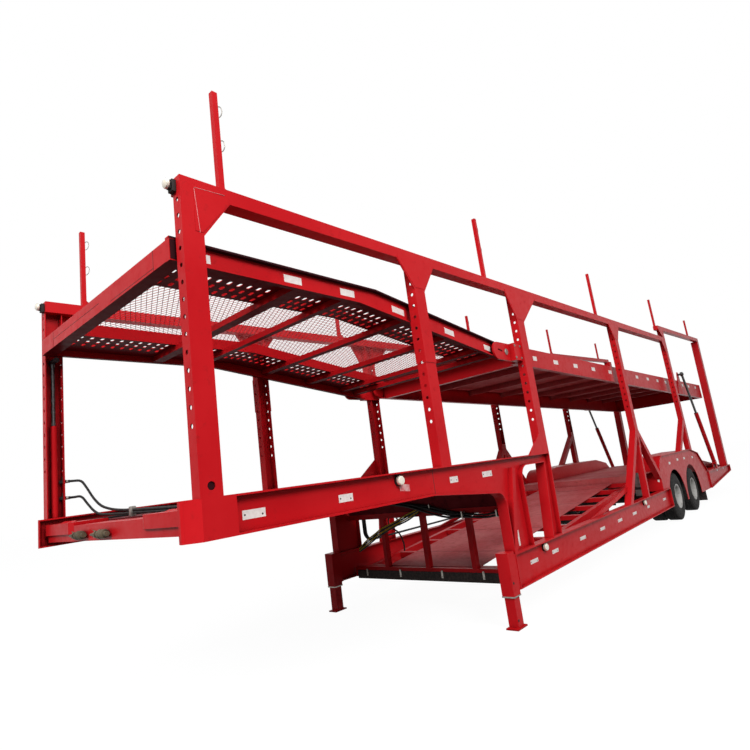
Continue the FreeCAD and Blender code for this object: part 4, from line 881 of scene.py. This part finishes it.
def lids_and_bead_highlights():
    """Bevelled lids behind the front crossbeam's covers, and weld beads round the front gussets,
    coloured light pink as painted highlight.
    """
    lids = Piece("crossbeam_lids", RED, "chassis", "red_paint")
    bead_highlights = Piece("weld_bead_highlights", BEAD_HIGHLIGHT, "chassis", "red_paint")
    for side, _ in SIDES:
        outline = [(0.052, 0.66, 1.452), (0.052, 1.10, 1.452), (0.150, 1.04, 1.5015),
                   (0.150, 0.76, 1.5015)]
        lids.slab([(at(s), side * y, z) for s, y, z in outline],
                  [(at(s + 0.002), side * y, z - 0.005) for s, y, z in outline])
        y = side * (OUTER + 0.0022)
        # Painted highlight: light pink beads along the front gusset's top edge and down its front
        # edge.
        bead_highlights.tube([(at(0.372), y, 3.398), (at(0.160), y, 3.382)], 0.0022, 6)
        bead_highlights.tube([(at(0.160), y, 3.376), (at(0.183), y, 3.092)], 0.0020, 6)
    lids.done()
    bead_highlights.done(50)


def corner_plates():
    """Plates that close the bevelled front corners."""
    piece = Piece("corner_plates", RED, "chassis", "red_paint")
    plan = [(0.0005, 1.150), (0.0005, 1.1745), (0.0745, 1.2695), (0.0795, 1.2655),
            (0.006, 1.170), (0.006, 1.150)]
    for side, _ in SIDES:
        piece.slab(*([(at(s), side * y, z) for s, y in plan] for z in (1.316, 1.539)))
    piece.done()


def front_deck_top(s):
    return 3.083 - 0.284 * max(0.0, s - DECK_BEND) / 2.12


def deck_edges():
    """Painted shade as dark undersides of the front deck's side flanges and dark open ends of its
    front beam.
    """
    piece = Piece("deck_edge_shade", SHADE, "front_deck", "red_paint")
    for side, _ in SIDES:
        for a, b in ((0.041, DECK_BEND), (DECK_BEND, 3.86)):
            for y0, y1, low, high in ((1.1125, 1.1570, 0.0145, 0.0122),
                                      (1.1572, 1.1580, 0.0150, 0.0010),
                                      (1.1125, 1.1140, 0.0400, 0.0125)):
                plan = ((a, y0), (b, y0), (b, y1), (a, y1))
                piece.slab(*([(at(s), side * y, front_deck_top(s) - drop) for s, y in plan]
                             for drop in (low, high)))
        # Painted shade: dark plates at the open ends of the front beam.
        y0, y1 = span(side, 1.1572, 1.1584)
        piece.box((at(0.044), y0, 2.938), (at(0.136), y1, 3.064))
    piece.done()


def couplings():
    """Hose couplings on the front crossbeam: body, collars, hexagons and nozzle."""
    piece = Piece("hose_couplings", OLIVE, "chassis", "coupling_brown")
    lo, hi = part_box("air_couplings")
    x, z = lo.x + 0.032, (lo.z + hi.z) / 2
    across = (0, 1, 0)
    for y in (-0.119, 0.2875):
        piece.lathe((x, y, z), across,
                    [(0.0, 0.0), (0.017, 0.0), (0.017, 0.035), (0.028, 0.038), (0.031, 0.045),
                     (0.031, 0.062), (0.025, 0.066), (0.025, 0.100), (0.030, 0.104),
                     (0.031, 0.118), (0.027, 0.124), (0.020, 0.128), (0.018, 0.165)], 28)
        piece.lathe((x, y, z), across, [(0.026, 0.165), (0.026, 0.190)], 6)
        piece.lathe((x, y, z), across,
                    [(0.020, 0.190), (0.014, 0.200), (0.011, 0.250), (0.008, 0.2795)], 20)
        piece.box((x - 0.006, y + 0.062, z - 0.022), (hi.x - 0.0005, y + 0.104, z + 0.016), 0.003)
        piece.box((x - 0.012, y + 0.070, z + 0.020), (x + 0.004, y + 0.080, z + 0.0315), 0.002)
        piece.tube([(x, y + 0.20, z + 0.010), (x, y + 0.205, z + 0.022), (x, y + 0.235, z + 0.030)],
                   0.0035)
    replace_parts(piece.done(30), "air_couplings")


# Pump of the hydraulics and rear lamps

PUMP = (8.02, -1.085)
PUMP_HOSES = (
    [(8.00, -1.030, 0.770), (7.98, -0.96, 0.80), (7.98, -0.90, 0.72), (8.03, -0.87, 0.62),
     (8.06, -0.87, 0.50)],
    [(8.04, -1.030, 0.770), (8.05, -0.95, 0.84), (8.06, -0.88, 0.76), (8.07, -0.84, 0.62),
     (8.07, -0.84, 0.50)])
REAR_LAMPS = (0.79, 0.92, 1.05)


def pump_units():
    """Electric pump of the hydraulics inside the left lower beam, with its foot and hoses."""
    motor = Piece("pump_motors", GREY, "chassis", "hose_rubber")
    block = Piece("pump_blocks", CAST, "chassis", "hose_rubber")
    x, y = at(PUMP[0]), PUMP[1]
    upward = (0, 0, 1)
    motor.lathe((x, y, 0.790), upward,
                [(0.0, 0.0), (0.052, 0.0), (0.056, 0.008), (0.056, 0.175), (0.050, 0.185),
                 (0.050, 0.200), (0.046, 0.222), (0.0, 0.230)], 32)
    for z in (0.815, 0.945):
        motor.lathe((x, y, z), upward,
                    [(0.058, 0), (0.0585, 0.004), (0.0585, 0.012), (0.058, 0.016)], 32)
    motor.box((x - 0.050, y - 0.045, 0.650), (x + 0.050, y + 0.050, 0.752), 0.008)
    block.box((x - 0.056, y - 0.050, 0.752), (x + 0.056, y + 0.056, 0.790), 0.006)
    block.box((x - 0.060, -1.168, 0.6405), (x + 0.060, y + 0.060, 0.650), 0.002)
    for dx in (-0.04, 0.04):
        block.bolt((x + dx, -1.150, 0.650), upward, 0.008, 0.006)
    for points in PUMP_HOSES:
        block.hose(points, PIPE_HOSE)
    motor.done(30)
    block.done(30)


def rear_lamps():
    """A case of three lamps at each side, the outermost one amber."""
    case = Piece("rear_lamp_cases", CAST, "chassis", "lamp_lens")
    red = Piece("rear_lamp_glasses", LENS_RED, "chassis", "lamp_lens")
    amber = Piece("rear_lamp_ambers", LENS_AMBER, "chassis", "lamp_lens")
    for side, _ in SIDES:
        y0, y1 = span(side, 0.72, 1.12)
        case.box((at(15.40), y0, 0.330), (at(15.455), y1, 0.441), 0.006)
        for y in REAR_LAMPS:
            lamp = amber if y == REAR_LAMPS[-1] else red
            lamp.lathe((at(15.455), side * y, 0.385), (1, 0, 0),
                       [(0.046, -0.004), (0.046, 0.006), (0.038, 0.012), (0.0, 0.014)], 28)
    case.done(30)
    red.done(30)
    amber.done(30)


# Floor, light and background

FLOOR_HALF, FLOOR_Z = 60, -0.0005
FLOOR_TONE, FLOOR_TONE_SEEN = grey(0.08), grey(0.34)
FLOOR_GLOW, GLOW_SHARE = 1.2, 0.8
SKY, SKY_STRENGTH = (0.92, 0.95, 1.0), 0.25


def seen_ray(tree):
    """1 for rays that show the background: the camera's own, reflected and transmitted ones."""
    path = tree.nodes.new("ShaderNodeLightPath")
    value = path.outputs["Is Camera Ray"]
    for kind in ("Is Glossy Ray", "Is Transmission Ray"):
        value = maths(tree, "MAXIMUM", value, path.outputs[kind])
    return value


def glow(tree, kind, colour, strength):
    node = tree.nodes.new(kind)
    node.inputs["Color"].default_value = (*colour, 1)
    node.inputs["Strength"].default_value = strength
    return node.outputs[0]


def mix_shader(tree, share, a, b, output):
    node = tree.nodes.new("ShaderNodeMixShader")
    for value, socket in zip((share, a, b), node.inputs):
        tree.links.new(value, socket)
    tree.links.new(node.outputs[0], tree.nodes[output].inputs["Surface"])


def stage():
    """White floor that keeps the shadow but throws little light back up."""
    mat, tree, bsdf = new_material("floor")
    bsdf.inputs["Roughness"].default_value = 0.9
    seen = seen_ray(tree)
    feed(tree, mix(tree, seen, FLOOR_TONE, FLOOR_TONE_SEEN), bsdf.inputs["Base Color"])
    mix_shader(tree, maths(tree, "MULTIPLY", seen, GLOW_SHARE), bsdf.outputs[0],
               glow(tree, "ShaderNodeEmission", WHITE, FLOOR_GLOW), "Material Output")
    mesh = bpy.data.meshes.new("floor")
    corners = [(x * FLOOR_HALF, y * FLOOR_HALF, 0) for x, y in ((-1, -1), (1, -1), (1, 1), (-1, 1))]
    mesh.from_pydata(corners, [], [(0, 1, 2, 3)])
    mesh.materials.append(mat)
    floor = add_object("floor", mesh)
    floor.location.z = FLOOR_Z


def world():
    scene_world = bpy.data.worlds.new("world")
    bpy.context.scene.world = scene_world
    scene_world.use_nodes = True
    tree = scene_world.node_tree
    back = tree.nodes["Background"]
    back.inputs["Color"].default_value = (*SKY, 1)
    back.inputs["Strength"].default_value = SKY_STRENGTH
    mix_shader(tree, seen_ray(tree), back.outputs[0],
               glow(tree, "ShaderNodeBackground", WHITE, 1.0), "World Output")


def area_light(name, place, target, size, power):
    light = bpy.data.lights.new(name, "AREA")
    light.shape = "DISK"
    light.size = size
    light.energy = power
    obj = add_object(name, light)
    obj.location = place
    obj.rotation_euler = (Vector(target) - Vector(place)).to_track_quat("-Z", "Y").to_euler()


camera()
deck_mesh()
wheels()
lamps()
side_stickers()
label_and_dots()
deck_stickers()
stake_loops()
strip_clips()
seams()
loose_hoses()
corner_plates()
deck_edges()
couplings()
gusset_plates()
small_fittings()
lids_and_bead_highlights()
pump_units()
rear_lamps()
stage()
world()
area_light("key", (-9, -13, 11), (-2, 0, 2), 8, 2100)
area_light("front", (-19, -4, 11), (-4, 0, 2), 7, 1800)

bpy.context.scene.view_settings.view_transform = "Standard"
